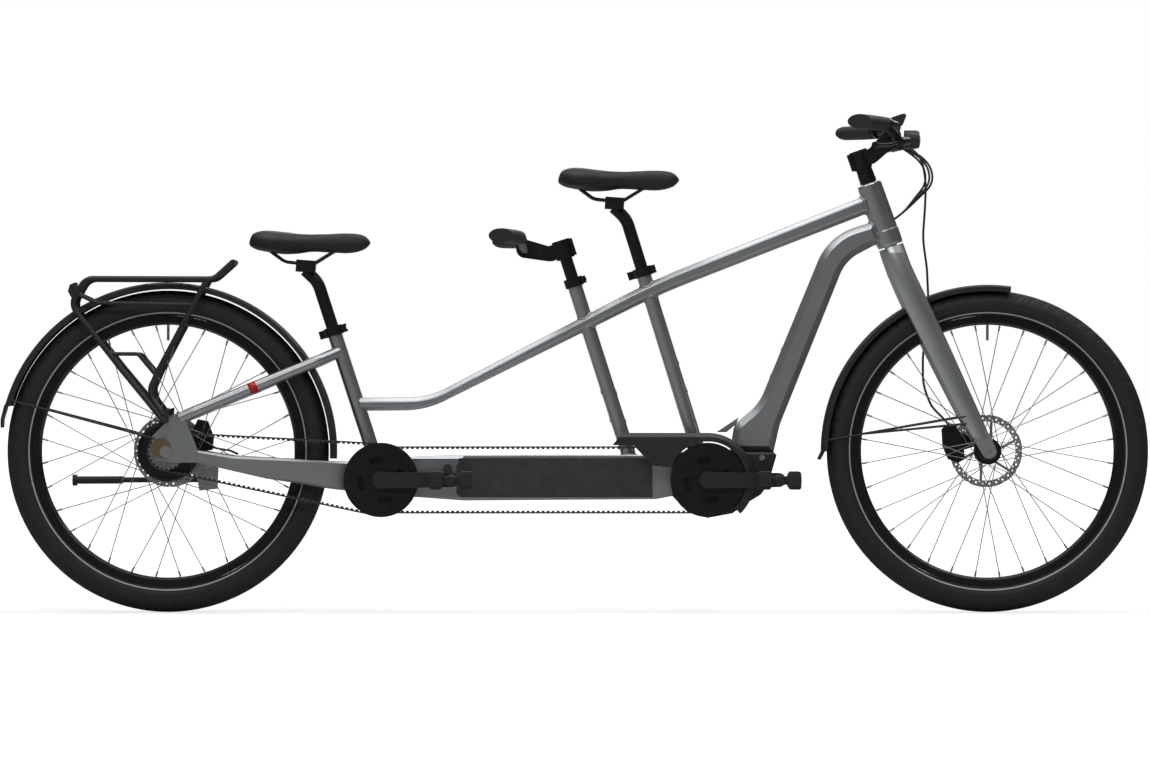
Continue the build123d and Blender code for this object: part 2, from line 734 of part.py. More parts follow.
guard_shell = guard_profile(0.0, guard_in_y, guard_depth, 9.0)
guard_core = guard_profile(guard_wall, guard_in_y + 1, guard_depth + 1 - guard_wall,
                           9.0 - 0.586 * guard_wall)
belt_way = slab(
    [off(captain_bb, -260, 78), off(captain_bb, -40, 78), off(captain_bb, -40, -60),
     off(captain_bb, -260, -60)],
    guard_in_y + 1, guard_depth + 1 - guard_wall)
ring_way = disc(captain_bb, guard_in_y + 1, guard_depth + 20, ring_cover_radius + 2.5)
lug = slab(
    [off(captain_bb, 53, 64), off(captain_bb, 77, 64), off(captain_bb, 77, 66), off(captain_bb, 53, 84)],
    -down_tube_width / 2, -guard_in_y - down_tube_width / 2 + guard_wall)
write((guard_shell - guard_core - belt_way - ring_way) + lug, "belt_guard")

# ---- rear triangle ----
stay_sections = [
    (70, 79.0, 343, 27, 16), (148, 71.0, 327.5, 33, 18), (219, 61.0, 317.5, 46, 18),
    (300, 51.0, 309, 54, 16), (352, 45.5, 303, 60, 13), (396, 37.0, 299.5, 64, 16),
]


def chamfered_section(x, y, height, tall, wide):
    """Bevelled rectangle across a chainstay, at x ahead of the rear axle."""
    bevel = wide * 0.28
    with BuildSketch(Plane(origin=(rear_axle.X + x, y, rear_axle.Z + height - 354), x_dir=(0, 1, 0),
                           z_dir=(1, 0, 0)),
                     mode=Mode.PRIVATE) as section:
        with BuildLine():
            Polyline(
                (-wide / 2, -tall / 2 + bevel), (-wide / 2 + bevel, -tall / 2),
                (wide / 2 - bevel, -tall / 2),
                (wide / 2, -tall / 2 + bevel), (wide / 2, tall / 2 - bevel), (wide / 2 - bevel, tall / 2),
                (-wide / 2 + bevel, tall / 2), (-wide / 2, tall / 2 - bevel), close=True)
        make_face()
    return section.sketch


def chainstay(side):
    """Stay from the dropout to the boom's back face."""
    sections = [chamfered_section(x, side * y, height, tall, wide)
                for x, y, height, tall, wide in stay_sections]
    front_x = stoker_bb.X - rear_axle.X - 30
    sections.append(chamfered_section(front_x, side * 26.0, 354 - bb_drop + 8, 74, 18))
    with BuildPart(mode=Mode.PRIVATE) as stay:
        loft(sections=sections, ruled=True)
    return stay.part


def seat_stay(side):
    """Round stay from the seat tube, bowed out past the fender, down to the dropout."""
    outer_y = side * (dropout_y + dropout_thickness / 2)
    route = [
        off(stoker_bb, -96, 280, side * 16), off(stoker_bb, -142, 259.5, side * 50),
        aside(off(rear_axle, 62, 87), outer_y), aside(off(rear_axle, 30, 73), outer_y)]
    return bent_tube(route, stay_radius, 45.0) - stoker_blank


rear_plate_cut = slab(
    [off(rear_axle, -60, -60), off(rear_axle, 72, -60), off(rear_axle, 72, 60), off(rear_axle, 34, 96),
     off(rear_axle, -60, 60)],
    dropout_y + dropout_thickness, 2 * dropout_y + 2 * dropout_thickness)
bolt_radius = 5.5
stay_bolts = [disc(off(rear_axle, x, z), -dropout_y - dropout_thickness, 4, bolt_radius)
              for x, z in ((2, 57), (25, 73), (-4, 35), (42, -6))]
with BuildPart() as rear_stays:
    add(chainstay(1))
    add(chainstay(-1))
    add(seat_stay(1) - rear_plate_cut)
    add(seat_stay(-1) - rear_plate_cut)
    add(stay_bolts, mode=Mode.SUBTRACT)
write(rear_stays.part, "rear_stays")

# dropouts: a plate on each side, with the axle and its nuts
dropout_outline = [
    off(rear_axle, 40, 77), off(rear_axle, 27, 89), off(rear_axle, -30, 34), off(rear_axle, -31, 4),
    off(rear_axle, -22, -18), off(rear_axle, 10, -24), off(rear_axle, 70, -24), off(rear_axle, 70, 2)]
nut_radius = 13.0
plates = []
for side in (-1, 1):
    high_y = max(side * dropout_y, side * (dropout_y + dropout_thickness))
    plates.append(slab(dropout_outline, high_y, dropout_thickness))
    plates.append(disc(off(rear_axle, -11, 7), max(side * (dropout_y + dropout_thickness),
                                                  side * (dropout_y + dropout_thickness + 5)), 5, 22.0))
rear_outer_y = dropout_y + dropout_thickness + 5.0
axle_hole = rod(aside(rear_axle, 120), aside(rear_axle, -120), rear_axle_radius)
nut_height = 7.0
axle_pieces = [rod(aside(rear_axle, rear_outer_y + nut_height), aside(rear_axle, -rear_outer_y - nut_height),
                   rear_axle_radius)]
for side in (-1, 1):
    axle_pieces.append(rod(aside(rear_axle, side * rear_outer_y),
                           aside(rear_axle, side * (rear_outer_y + nut_height)),
                           nut_radius, rear_axle_radius))
write_group([plate - axle_hole for plate in plates] + axle_pieces, "dropouts")

# ---- fenders ----


def fender_arc(axle, radius, width, first_angle, last_angle):
    """Curved channel over a tyre, between two angles measured up from straight ahead."""
    half = width / 2
    skirt = 14.0
    turned = Axis(axle, (0, -1, 0))
    with BuildPart(mode=Mode.PRIVATE) as channel:
        with BuildSketch(wheel_plane(axle)):
            with BuildLine():
                Polyline(
                    (radius - skirt, -half), (radius - 4, -half), (radius, -half + 9), (radius, half - 9),
                    (radius - 4, half), (radius - skirt, half), (radius - skirt, half - fender_wall),
                    (radius - 4 - fender_wall, half - fender_wall), (radius - fender_wall, half - 10),
                    (radius - fender_wall, -half + 10), (radius - 4 - fender_wall, -half + fender_wall),
                    (radius - skirt, -half + fender_wall), close=True)
            make_face()
        revolve(axis=turned, revolution_arc=last_angle - first_angle)
    return channel.part.rotate(turned, first_angle)


def spoke_wire(start, end, radius=2.0):
    """Thin fender stay."""
    return rod(start, end, radius)


rear_fender_from = -2.5
rear_fender_to = 164.0
flap_width = 60.0
rear_channel = fender_arc(rear_axle, rear_fender_radius, rear_fender_width, rear_fender_from, rear_fender_to)
rear_flap = slab(
    [off(rear_axle, -352, 104), off(rear_axle, -358, 103), off(rear_axle, -flap_reach, 70),
     off(rear_axle, -flap_reach, 52), off(rear_axle, -flap_reach + 3, 52),
     off(rear_axle, -flap_reach + 4, 70)],
    flap_width / 2, flap_width)
rear_stay_spot = off(rear_axle, -344, 113)
rear_stay_foot = off(rear_axle, -24, 28)
rear_stay_y = dropout_y + dropout_thickness + 2.4
rear_wires = []
for side in (-1, 1):
    rear_wires.append(spoke_wire(aside(rear_stay_spot, side * (rear_fender_width / 2 + 1)),
                                 aside(rear_stay_foot, side * rear_stay_y)))
with BuildPart() as rear_fender:
    add(rear_channel)
    add(rear_flap)
    add(rear_wires)
    add(plates, mode=Mode.SUBTRACT)
write(rear_fender.part, "rear_fender")

# ---- rack and rear light ----
rack_foot_y = dropout_y + dropout_thickness + rack_tube_radius + 0.8
rack_parts = []
for side in (-1, 1):
    foot_y = side * rack_foot_y
    rail_y = side * rack_half_width
    rack_parts.append(bent_tube(
        [off(rear_axle, -4, 66, foot_y), off(rear_axle, -100, 182, side * 72),
         off(rear_axle, -210, 322, rail_y),
         off(rear_axle, -178, 379, rail_y), off(rear_axle, 104, 378, rail_y),
         off(rear_axle, 146, 416, rail_y)],
        rack_tube_radius, 30.0))
    rack_parts.append(bent_tube(
        [off(rear_axle, 88, 376, rail_y), off(rear_axle, -17, 178, side * 70),
         off(rear_axle, -35, 138, side * 74),
         off(rear_axle, -29, 114, side * 78), off(rear_axle, -4, 80, foot_y)],
        rack_tube_radius, 25.0))
    rack_parts.append(bent_tube(
        [off(rear_axle, -197, 346, rail_y), off(rear_axle, -154, 326, rail_y),
         off(rear_axle, 56, 322, rail_y)],
        rack_tube_radius - 2, 20.0))
    rack_parts.append(bent_tube(
        [off(rear_axle, -122, 214, side * 70.5), off(rear_axle, -62, 214, side * 71),
         off(rear_axle, -22, 166, side * 71)],
        rack_tube_radius - 2, 12.0))
    foot_low_y = side * (dropout_y + dropout_thickness)
    foot_high_y = foot_low_y + side * 10
    rack_parts.append(slab(
        [off(rear_axle, -12, 64), off(rear_axle, 6, 64), off(rear_axle, 8, 96), off(rear_axle, -12, 90)],
        max(foot_low_y, foot_high_y), 10.0))
for x, z in ((-150, 379), (-50, 379), (50, 378), (146, 416)):
    rack_parts.append(rod(off(rear_axle, x, z, rack_half_width), off(rear_axle, x, z, -rack_half_width),
                          rack_tube_radius - 1))
rack_parts.append(rod(off(rear_axle, -197, 346, rack_half_width),
                      off(rear_axle, -197, 346, -rack_half_width), rack_tube_radius - 1))
fender_seat = rear_fender_radius + body_gap
rack_parts.append(rod(off(rear_axle, 30, fender_seat), off(rear_axle, 30, 379), 4.0))
rack_parts.append(rod(off(rear_axle, 30, 379, rack_half_width), off(rear_axle, 30, 379, -rack_half_width),
                      rack_tube_radius - 1))
with BuildPart() as rack:
    add(rack_parts)
write(rack.part, "rack")

light_width = 78.0
rear_light_body = slab(
    [off(rear_axle, -202, 371), off(rear_axle, -214, 366), off(rear_axle, -217, 352),
     off(rear_axle, -211, 338),
     off(rear_axle, -202, 338)], light_width / 2, light_width)
light_seat = rod(off(rear_axle, -197, 346, 80), off(rear_axle, -197, 346, -80), rack_tube_radius - 1)
write(rear_light_body - light_seat, "rear_light")


# ---- brakes ----
def caliper(corners, disc_y, axle, thickness, inner_reach):
    """Caliper body that straddles its disc in a slot."""
    body = slab(corners, disc_y + thickness / 2 + 3, thickness + inner_reach)
    slot = disc(axle, disc_y + disc_thickness / 2 + 1.0, disc_thickness + 2.0, disc_radius + 3)
    return body - slot


hose_radius = 2.5
rear_caliper = caliper(
    [off(rear_axle, 48, 40), off(rear_axle, 62, 70), off(rear_axle, 84, 66), off(rear_axle, 97, 30),
     off(rear_axle, 94, 2), off(rear_axle, 60, -2)], rear_disc_y, rear_axle, 22.0, 2.0)
rear_hose = bent_tube(
    [off(rear_axle, 94, 8, 64), off(rear_axle, 112, 4, 66), off(rear_axle, 132, 1, 68),
     off(rear_axle, 150, -7, 71)],
    hose_radius, 30.0)
with BuildPart() as rear_brake:
    add(rear_caliper)
    add(rear_hose)
write(rear_brake.part, "rear_brake")


# ---- seat posts, saddles and their quick-release clamps ----
def along(seat, up, s, n=0.0, y=0.0):
    """A point by a tube's top: s up its axis, n ahead of it, y across."""
    return seat + up * s + Vector(up.Z, 0, -up.X) * n + Vector(0, y, 0)


def block(seat, up, low, high, back, front, y_low, y_high):
    """Box square to a tube's axis."""
    corners = [along(seat, up, low, back), along(seat, up, low, front),
               along(seat, up, high, front), along(seat, up, high, back)]
    return slab(corners, y_high, y_high - y_low)


collar_radius = 20.5
collar_low = -12.0
collar_high = 8.0
clamp_bolt_n = 23.0
clamp_pin_y = 20.0
clamp_pin_radius = 3.0


def collar(seat, up):
    """Split collar round the tube's top, with its bolt lugs at the front."""
    ring = rod(along(seat, up, collar_low), along(seat, up, collar_high), collar_radius)
    lugs = block(seat, up, collar_low + 2, collar_high - 2, 12, 28, -10, 10)
    slit = block(seat, up, collar_low - 1, collar_high + 1, 10, 30, -1, 1)
    tube_way = rod(along(seat, up, collar_low - 1), seat, seat_tube_radius)
    post_way = rod(seat, along(seat, up, collar_high + 1), post_radius + body_gap)
    return ring + lugs - slit - tube_way - post_way


def clamp_bolt(seat, up, left_end):
    """Bolt across the lugs with its nut on the right."""
    nut = rod(along(seat, up, -2, clamp_bolt_n, -10), along(seat, up, -2, clamp_bolt_n, -16), 6.5)
    return nut + rod(along(seat, up, -2, clamp_bolt_n, -10), along(seat, up, -2, clamp_bolt_n, left_end),
                     2.8)


clamps = []
for seat, up in ((captain_seat, captain_up), (stoker_seat, stoker_up)):
    bolt = clamp_bolt(seat, up, clamp_pin_y)
    pin = rod(along(seat, up, -11, clamp_bolt_n, clamp_pin_y), along(seat, up, 7, clamp_bolt_n, clamp_pin_y),
              clamp_pin_radius)
    clamps.append(collar(seat, up) - bolt)
    clamps.append(bolt + pin)
bar_bolt = clamp_bolt(bar_seat, bar_up, 12.0)
clamps.append(collar(bar_seat, bar_up) - bar_bolt)
clamps.append(bar_bolt)
write_group(clamps, "seat_clamps")


def clamp_lever(seat, up, name):
    """Cam lever: two eyes on the pin above and below the bolt, and a paddle beside the collar."""
    pin_bore = clamp_pin_radius + running_gap
    eyes = []
    for low, high in ((-11, -5.5), (1.5, 7)):
        eyes.append(rod(along(seat, up, low, clamp_bolt_n, clamp_pin_y),
                        along(seat, up, high, clamp_bolt_n, clamp_pin_y), 7.0))
    paddle = block(seat, up, -11, 7, -34, clamp_bolt_n - 3.5, clamp_pin_y + 3.4, clamp_pin_y + 8)
    bore = rod(along(seat, up, -12, clamp_bolt_n, clamp_pin_y),
               along(seat, up, 8, clamp_bolt_n, clamp_pin_y), pin_bore)
    with BuildPart() as lever:
        add(eyes)
        add(paddle)
        add(bore, mode=Mode.SUBTRACT)
    write(lever.part, name)


clamp_lever(captain_seat, captain_up, "captain_clamp_lever")
clamp_lever(stoker_seat, stoker_up, "stoker_clamp_lever")

saddle_width = 158.0
nose_width = 42.0
rail_y = 22.0
rail_radius = 3.5


def saddle_top_view(head):
    """Saddle outline from above."""
    with BuildPart(mode=Mode.PRIVATE) as shape:
        with BuildSketch(Plane(origin=(head.X, 0, head.Z))):
            with BuildLine():
                Spline(
                    (145, 0), (135, nose_width * 0.42), (60, nose_width * 0.6), (-10, saddle_width * 0.27),
                    (-70, saddle_width * 0.48), (-112, saddle_width * 0.42), (-123, 0))
                Spline(
                    (-123, 0), (-112, -saddle_width * 0.42), (-70, -saddle_width * 0.48),
                    (-10, -saddle_width * 0.27),
                    (60, -nose_width * 0.6), (135, -nose_width * 0.42), (145, 0))
            make_face()
        extrude(amount=120)
    return shape.part


def make_saddle(seat, up, exposed, insertion, rider):
    """Bent post with its rails and clamp, and the saddle on the rails."""
    bend = along(seat, up, exposed)
    head = off(bend, -28, 26)
    post = bent_tube([along(seat, up, -insertion), bend, head], post_radius, 60.0)
    rails = []
    for side in (-1, 1):
        rails.append(bent_tube(
            [off(head, -74, 40, side * rail_y * 1.4), off(head, -44, 18, side * rail_y),
             off(head, 17, 12, side * rail_y),
             off(head, 66, 42, side * rail_y * 0.6)], rail_radius, 30.0))
    cradle = slab([off(head, -20, -3), off(head, 22, -6), off(head, 24, 20), off(head, -18, 23)], 30.0, 60.0)
    side_outline = [
        off(head, -122, 51), off(head, -123, 63), off(head, -112, 82), off(head, -89, 88),
        off(head, -26, 81),
        off(head, 11, 79), off(head, 87, 82), off(head, 118, 80), off(head, 140, 72), off(head, 145, 60),
        off(head, 131, 43), off(head, 100, 34), off(head, 13, 39), off(head, -13, 34), off(head, -50, 32),
        off(head, -84, 38)]
    body = slab(side_outline, saddle_width / 2, saddle_width) & saddle_top_view(head)
    with BuildPart() as seatpost:
        add(post)
        add(cradle)
        add(rails)
    write(seatpost.part, f"{rider}_seatpost")
    with BuildPart() as saddle:
        add(body)
        add(rails, mode=Mode.SUBTRACT)
    write(saddle.part, f"{rider}_saddle")


captain_exposed = 120.0
stoker_exposed = 112.0
post_insertion = 145.0
make_saddle(captain_seat, captain_up, captain_exposed, post_insertion, "captain")
make_saddle(stoker_seat, stoker_up, stoker_exposed, post_insertion, "stoker")


# ---- stems, handlebars and grips ----
def make_stem(seat, up, low, high, bore, facing, pivot_n, clamp_spot, post_from, spacers, name):
    """Adjustable stem: a clamp on its post, a knuckle and an arm that holds the bar."""
    middle = (low + high) / 2
    pivot = along(seat, up, middle, facing * pivot_n)
    back = facing * -26
    base = rod(along(seat, up, low), along(seat, up, high), 20.0)
    lug = block(seat, up, low + 4, high - 4, min(0, facing * pivot_n), max(0, facing * pivot_n), -16, 16)
    ears = block(seat, up, low + 2, high - 2, min(back, 0), max(back, 0), -9, 9)
    slit = block(seat, up, low - 1, high + 1, min(back * 1.2, 0), max(back * 1.2, 0), -1, 1)
    knuckle = disc(pivot, 17, 34, 16.0)
    arm = link(pivot, clamp_spot, 16.0, 20.0, 17.0, 34.0)
    body = base + ears - slit + lug + knuckle + arm
    body = body - disc(clamp_spot, 40, 80, bar_clamp_radius)
    if post_from is None:
        body = body - rod(along(seat, up, low - 1), along(seat, up, high + 1), bore)
    else:
        body = body + rod(along(seat, up, post_from), along(seat, up, high - 2), bore)
    pieces = [body, disc(pivot, -17, 4, 12.0), disc(pivot, 21, 4, 12.0)]
    for spot in (low + 10, high - 10):
        pieces.append(disc(along(seat, up, spot, back * 0.8), -9, 5, 4.5))
        pieces.append(disc(along(seat, up, spot, back * 0.8), 14, 5, 4.5))
    write_group(pieces + spacers, name)


def make_bar(spot, half, sweep_back, rise, bend_y, bend_x, name):
    """Swept handlebar with a thicker clamp section; returns it with its grip ends."""
    route = [
        off(spot, sweep_back, rise, -half), off(spot, bend_x, rise - 3, -bend_y), off(spot, 0, 0, -40),
        off(spot, 0, 0, 40), off(spot, bend_x, rise - 3, bend_y), off(spot, sweep_back, rise, half)]
    bar = bent_tube(route, bar_radius, 90.0) + disc(spot, 26, 52, bar_clamp_radius)
    with BuildPart() as handlebar:
        add(bar)
    write(handlebar.part, name)
    return handlebar.part, route


def make_grips(bar, route, name):
    """Tapered grips with a palm rest behind their outer ends."""
    grips = []
    for end, bend in ((route[0], route[1]), (route[-1], route[-2])):
        inward = (bend - end).normalized()
        rearward = Vector(-1, 0, 0) - inward * Vector(-1, 0, 0).dot(inward)
        outer = Plane(origin=end - inward * 3, x_dir=rearward, z_dir=inward)
        with BuildPart(mode=Mode.PRIVATE) as grip:
            with BuildSketch(outer):
                with Locations((9, 0)):
                    Ellipse(27, 15.5)
            with BuildSketch(outer.offset(55)):
                with Locations((2, 0)):
                    Ellipse(18.5, 16)
            with BuildSketch(outer.offset(grip_length)):
                Circle(15.5)
            loft()
        grips.append(grip.part - bar)
    with BuildPart() as pair:
        add(grips)
    write(pair.part, name)


stem_low = 676.0
stem_high = 718.0
bar_spot = steer(723.0, 82.0)
spacer_stack = []
spacer_low = head_top + 2.0
spacer_height = (stem_low - spacer_low) / 3
for number in range(3):
    low = spacer_low + number * spacer_height
    spacer_stack.append(rod(steer(low), steer(low + spacer_height), 18.5 - number * 0.4, steerer_radius))
make_stem(steer_foot, steer_up, stem_low, stem_high, steerer_radius, 1, 28.0, bar_spot, None, spacer_stack,
          "stem")
captain_bar, captain_route = make_bar(bar_spot, captain_bar_half, -77, 20, 150, 2, "handlebar")
make_grips(captain_bar, captain_route, "captain_grips")

stoker_stem_low = 53.0
stoker_stem_high = 95.0
stoker_bar_spot = along(bar_seat, bar_up, 101.0, -79.0)
make_stem(bar_seat, bar_up, stoker_stem_low, stoker_stem_high, post_radius, -1, 32.0, stoker_bar_spot,
          -120.0, [],
          "stoker_stem")
stoker_bar, stoker_route = make_bar(stoker_bar_spot, stoker_bar_half, -41, 23, 155, -8, "stoker_handlebar")
make_grips(stoker_bar, stoker_route, "stoker_grips")

# ---- fork ----
blade_sections = [
    (-208, 436, 27.0, 42, 17.0), (-173, 352, 29.5, 50, 15.0), (-132, 266, 29.5, 52, 13.5),
    (-87, 172, 27.0, 55, 12.0),
    (-42, 79, 23.5, 59, 9.5), (-16, 29, 19.0, 61.5, 7.0)]


def fork_blade(side):
    """Tapered blade from the crown to the tip."""
    with BuildPart(mode=Mode.PRIVATE) as blade:
        for x, z, half_x, y, half_y in blade_sections:
            with BuildSketch(Plane(origin=off(front_axle, x, z, side * y), x_dir=(1, 0, 0),
                                   z_dir=(0, 0, 1))):
                Ellipse(half_x, half_y)
        loft()
    return blade.part


tip_thickness = 12.0
fork_parts = []
for side in (-1, 1):
    tip_high = max(side * fork_tip_y, side * (fork_tip_y + tip_thickness))
    fork_parts.append(fork_blade(side))
    fork_parts.append(link(off(front_axle, -14, 28), front_axle, 18.0, 16.0, tip_high, tip_thickness))
with BuildPart() as crown:
    with BuildSketch(Plane(origin=steer(432), x_dir=(0, 1, 0), z_dir=steer_up)):
        RectangleRounded(100, 54, 22)
    with BuildSketch(Plane(origin=steer(crown_height), x_dir=(0, 1, 0), z_dir=steer_up)):
        RectangleRounded(58, 56, 27.5)
    loft()
crown_room = 8.0
wheel_way = rod(aside(front_axle, 36), aside(front_axle, -36), front_fender_radius + crown_room)
axle_way = rod(aside(front_axle, 90), aside(front_axle, -90), front_axle_radius)
with BuildPart() as fork:
    add(crown.part - wheel_way)
    add(fork_parts)
    add(rod(steer(crown_height - 4), steer(stem_high), steerer_radius))
    add(axle_way, mode=Mode.SUBTRACT)
axle_head_y = fork_tip_y + tip_thickness
axle_head_radius = 12.0
axle_head = 10.0
key_socket_radius = 5.0
key_socket_depth = 8.5
axle_head_end = axle_head_y + axle_head
with BuildPart() as thru_axle:
    add(rod(aside(front_axle, axle_head_y + 2), aside(front_axle, -axle_head_y), front_axle_radius))
    add(rod(aside(front_axle, -axle_head_y), aside(front_axle, -axle_head_end), axle_head_radius))
    add(rod(aside(front_axle, key_socket_depth - axle_head_end), aside(front_axle, -axle_head_end),
            key_socket_radius), mode=Mode.SUBTRACT)
axle_nut = rod(aside(front_axle, axle_head_y), aside(front_axle, axle_head_y + 5), axle_head_radius,
               front_axle_radius)
write_group([fork.part, thru_axle.part, axle_nut], "fork")

front_fender_from = 82.0
front_fender_to = 180.0
front_channel = fender_arc(front_axle, front_fender_radius, front_fender_width, front_fender_from,
                           front_fender_to)
front_flap = slab(
    [off(front_axle, -357, 5), off(front_axle, -363, 6), off(front_axle, -374, -17),
     off(front_axle, -368, -19),
     off(front_axle, -359, -2)], flap_width / 2, flap_width)
crown_ring = disc(front_axle, 10, 20, front_fender_radius + crown_room, front_fender_radius)
crown_bracket = rod(steer(350), steer(390), 6.0) & crown_ring
front_wires = []
for side in (-1, 1):
    upper_end = off(front_axle, -351, 25, side * (front_fender_width / 2 + 1))
    upper_foot = off(front_axle, -50, 77, side * 66)
    lower_foot = off(front_axle, -50, 60, side * 66)
    fork_point = upper_foot + (upper_end - upper_foot) * 0.75
    front_wires.append(spoke_wire(upper_end, upper_foot))
    front_wires.append(spoke_wire(fork_point, lower_foot))
with BuildPart() as front_fender:
    add(front_channel)
    add(front_flap)
    add(front_wires)
    add(crown_bracket)
    add(fork.part, mode=Mode.SUBTRACT)
write(front_fender.part, "front_fender")

front_caliper_body = caliper(
    [off(front_axle, -98, 48), off(front_axle, -88, 57), off(front_axle, -66, 57), off(front_axle, -56, 36),
     off(front_axle, -49, 8), off(front_axle, -47, -18), off(front_axle, -62, -26),
     off(front_axle, -84, -18),
     off(front_axle, -96, 10)], front_disc_y, front_axle, 20.0, 0.0)
front_bridge = slab(
    [off(front_axle, -80, 40), off(front_axle, -38, 40), off(front_axle, -24, 10), off(front_axle, -56, 0)],
    front_disc_y + 16, 6.0)
front_hose_route = [
    off(bar_spot, 27.7, -16, 154.6), off(bar_spot, 52, -22, 126), off(bar_spot, 72, -48, 106),
    off(bar_spot, 80, -98, 90), off(bar_spot, 77, -158, 80), off(front_axle, -138, 470, 75),
    off(front_axle, -129, 404, 72), off(front_axle, -126, 338, 71), off(front_axle, -131, 272, 70.5),
    off(front_axle, -138, 208, 71), off(front_axle, -138, 146, 69), off(front_axle, -120, 98, 58),
    off(front_axle, -96, 74, 50), off(front_axle, -82, 58, 47)]
with BuildPart() as front_brake:
    add(front_caliper_body - fork.part)
    add((front_bridge - fork.part) - front_caliper_body)
write(front_brake.part, "front_caliper")
front_hose = bent_tube(front_hose_route, hose_radius, 200.0)
write(front_hose - front_caliper_body, "front_brake_hose")

# ---- cockpit ----
display_body = slab(
    [off(bar_spot, -19, 33), off(bar_spot, 27, 49), off(bar_spot, 30, 44), off(bar_spot, 22, 24),
     off(bar_spot, 10, 20),
     off(bar_spot, -8, 20), off(bar_spot, -14, 26)], 40.0, 80.0)
display_seat = disc(bar_spot, 60, 120, bar_clamp_radius + 4.2)
remote = slab([off(bar_spot, -46, 25), off(bar_spot, -50, 50), off(bar_spot, -28, 48), off(bar_spot, -6, 31),
               off(bar_spot, -8, 20)], 192.0, 24.0)
with BuildPart() as display:
    add(display_body - display_seat)
    add(remote - captain_bar)
write(display.part, "display")

headlight_radius = 20.5
headlight_back = off(bar_spot, 27, -7)
with BuildPart() as headlight:
    add(rod(headlight_back, off(headlight_back, 28, 0), headlight_radius))
    add(rod(off(headlight_back, 28, 0), off(headlight_back, 33, 0), headlight_radius - 1.5))
    add(rod(off(headlight_back, -16, 2), headlight_back, 6.0) - disc(bar_spot, 20, 40, 20.0))
    fillet(headlight.edges().filter_by(GeomType.CIRCLE).sort_by(Axis.X)[-1], 2)
write(headlight.part, "headlight")

# ---- brake levers ----
lever_pin_radius = 3.0
perches = []
for side in (-1, 1):
    end = off(bar_spot, -77, 20, side * captain_bar_half)
    bend = off(bar_spot, 2, 17, side * 150)
    inward = (bend - end).normalized()
    ring_low = end + inward * (grip_length + 4)
    ring_high = end + inward * (grip_length + 20)
    pivot = off(bar_spot, 5, -20, side * 200)
    tip = off(bar_spot, -51, -30, side * 312)
    reach = (tip - pivot).normalized()
    pull = Vector(-0.31, 0, 0.95)
    turn = reach.cross(pull).normalized()
    ring_middle = (ring_low + ring_high) * 0.5
    arm_end = pivot + turn * 9
    housing = rod(ring_low, ring_high, 15.5)
    neck = rod(ring_middle, pivot - reach * 12, 8.0)
    cylinder = rod(pivot - reach * 12, pivot - reach * 50, 9.0)
    fork_ears = rod(pivot - turn * 9, pivot - turn * 5.3, 7.0) + rod(pivot + turn * 5.3, arm_end, 7.0)
    ear_roots = []
    for face in (-7.2, 7.2):
        ear_roots.append(rod(pivot - reach * 16 + turn * face * 0.7, pivot - reach * 1 + turn * face, 1.8))
    eye_room = rod(pivot - turn * 5.3, pivot + turn * 5.3, 8.5)
    perch = housing + neck + cylinder + ear_roots - eye_room + fork_ears
    pin = rod(pivot - turn * 9, arm_end, lever_pin_radius)
    perches.append((perch + pin) - captain_bar)
    eye = rod(pivot - turn * 5, pivot + turn * 5, 6.5)
    middle = pivot + reach * 60 - pull * 4
    blade = bent_tube([pivot + reach * 4, middle, tip], 4.5, 200.0)
    knob = rod(tip - reach * 5, tip + reach * 5, 7.0)
    pin_hole = rod(pivot - turn * 10, pivot + turn * 10, lever_pin_radius + running_gap)
    with BuildPart() as lever:
        add(eye)
        add(blade)
        add(knob)
        add(pin_hole, mode=Mode.SUBTRACT)
    write(lever.part, "brake_lever_left" if side > 0 else "brake_lever_right")
with BuildPart() as brake_perches:
    add(perches)
write(brake_perches.part, "brake_perches")

# control cables from the bar into the port in front of the head tube
port_radius = 27.9
cable_parts = []
for y, reach_out in ((-9, 8), (0, 0), (9, 16)):
    cable_port = steer(550, math.sqrt(port_radius**2 - y**2) + 1.0)
    route = [
        off(bar_spot, 3, -12, 38 + y), off(bar_spot, 40 + reach_out, -33, 31 + 1.1 * y),
        off(bar_spot, 72 + reach_out, -64, 18 + 1.2 * y), off(bar_spot, 76 + reach_out, -104, 6 + 1.3 * y),
        off(cable_port, 44 + reach_out * 0.6, 46, y), off(cable_port, 18, 12, y), aside(cable_port, y)]
    cable_parts.append(bent_tube(route, cable_radius, 200.0) - captain_bar)
write_group(cable_parts, "control_cables")

# ---- kickstand, folded along the left side ----
stand_pivot = off(rear_axle, 83, -64)
stand_y = 99.0
stand_pin_radius = 6.0
stand_tip = off(rear_axle, -212, -65, stand_y)
bracket = slab(
    [off(rear_axle, 52, -24.5), off(rear_axle, 72, -26), off(rear_axle, 106, -36), off(rear_axle, 104, -84),
     off(rear_axle, 64, -88)], dropout_y + 13, 13.0)
stand_pin = rod(aside(stand_pivot, dropout_y + 13), aside(stand_pivot, stand_y + 10), stand_pin_radius)
with BuildPart() as kickstand:
    add(disc(stand_pivot, stand_y + 8, 16, 14.0))
    add(rod(aside(stand_pivot, stand_y), off(rear_axle, -110, -64.5, stand_y), 6.0))
    add(rod(off(rear_axle, -106, -64.5, stand_y), stand_tip, 8.5))
    add(rod(off(stand_tip, 4, 0), off(stand_tip, -6, 0), 12.5))
    add(rod(aside(stand_pivot, 60), aside(stand_pivot, 130), stand_pin_radius + running_gap),
        mode=Mode.SUBTRACT)
write(kickstand.part, "kickstand")

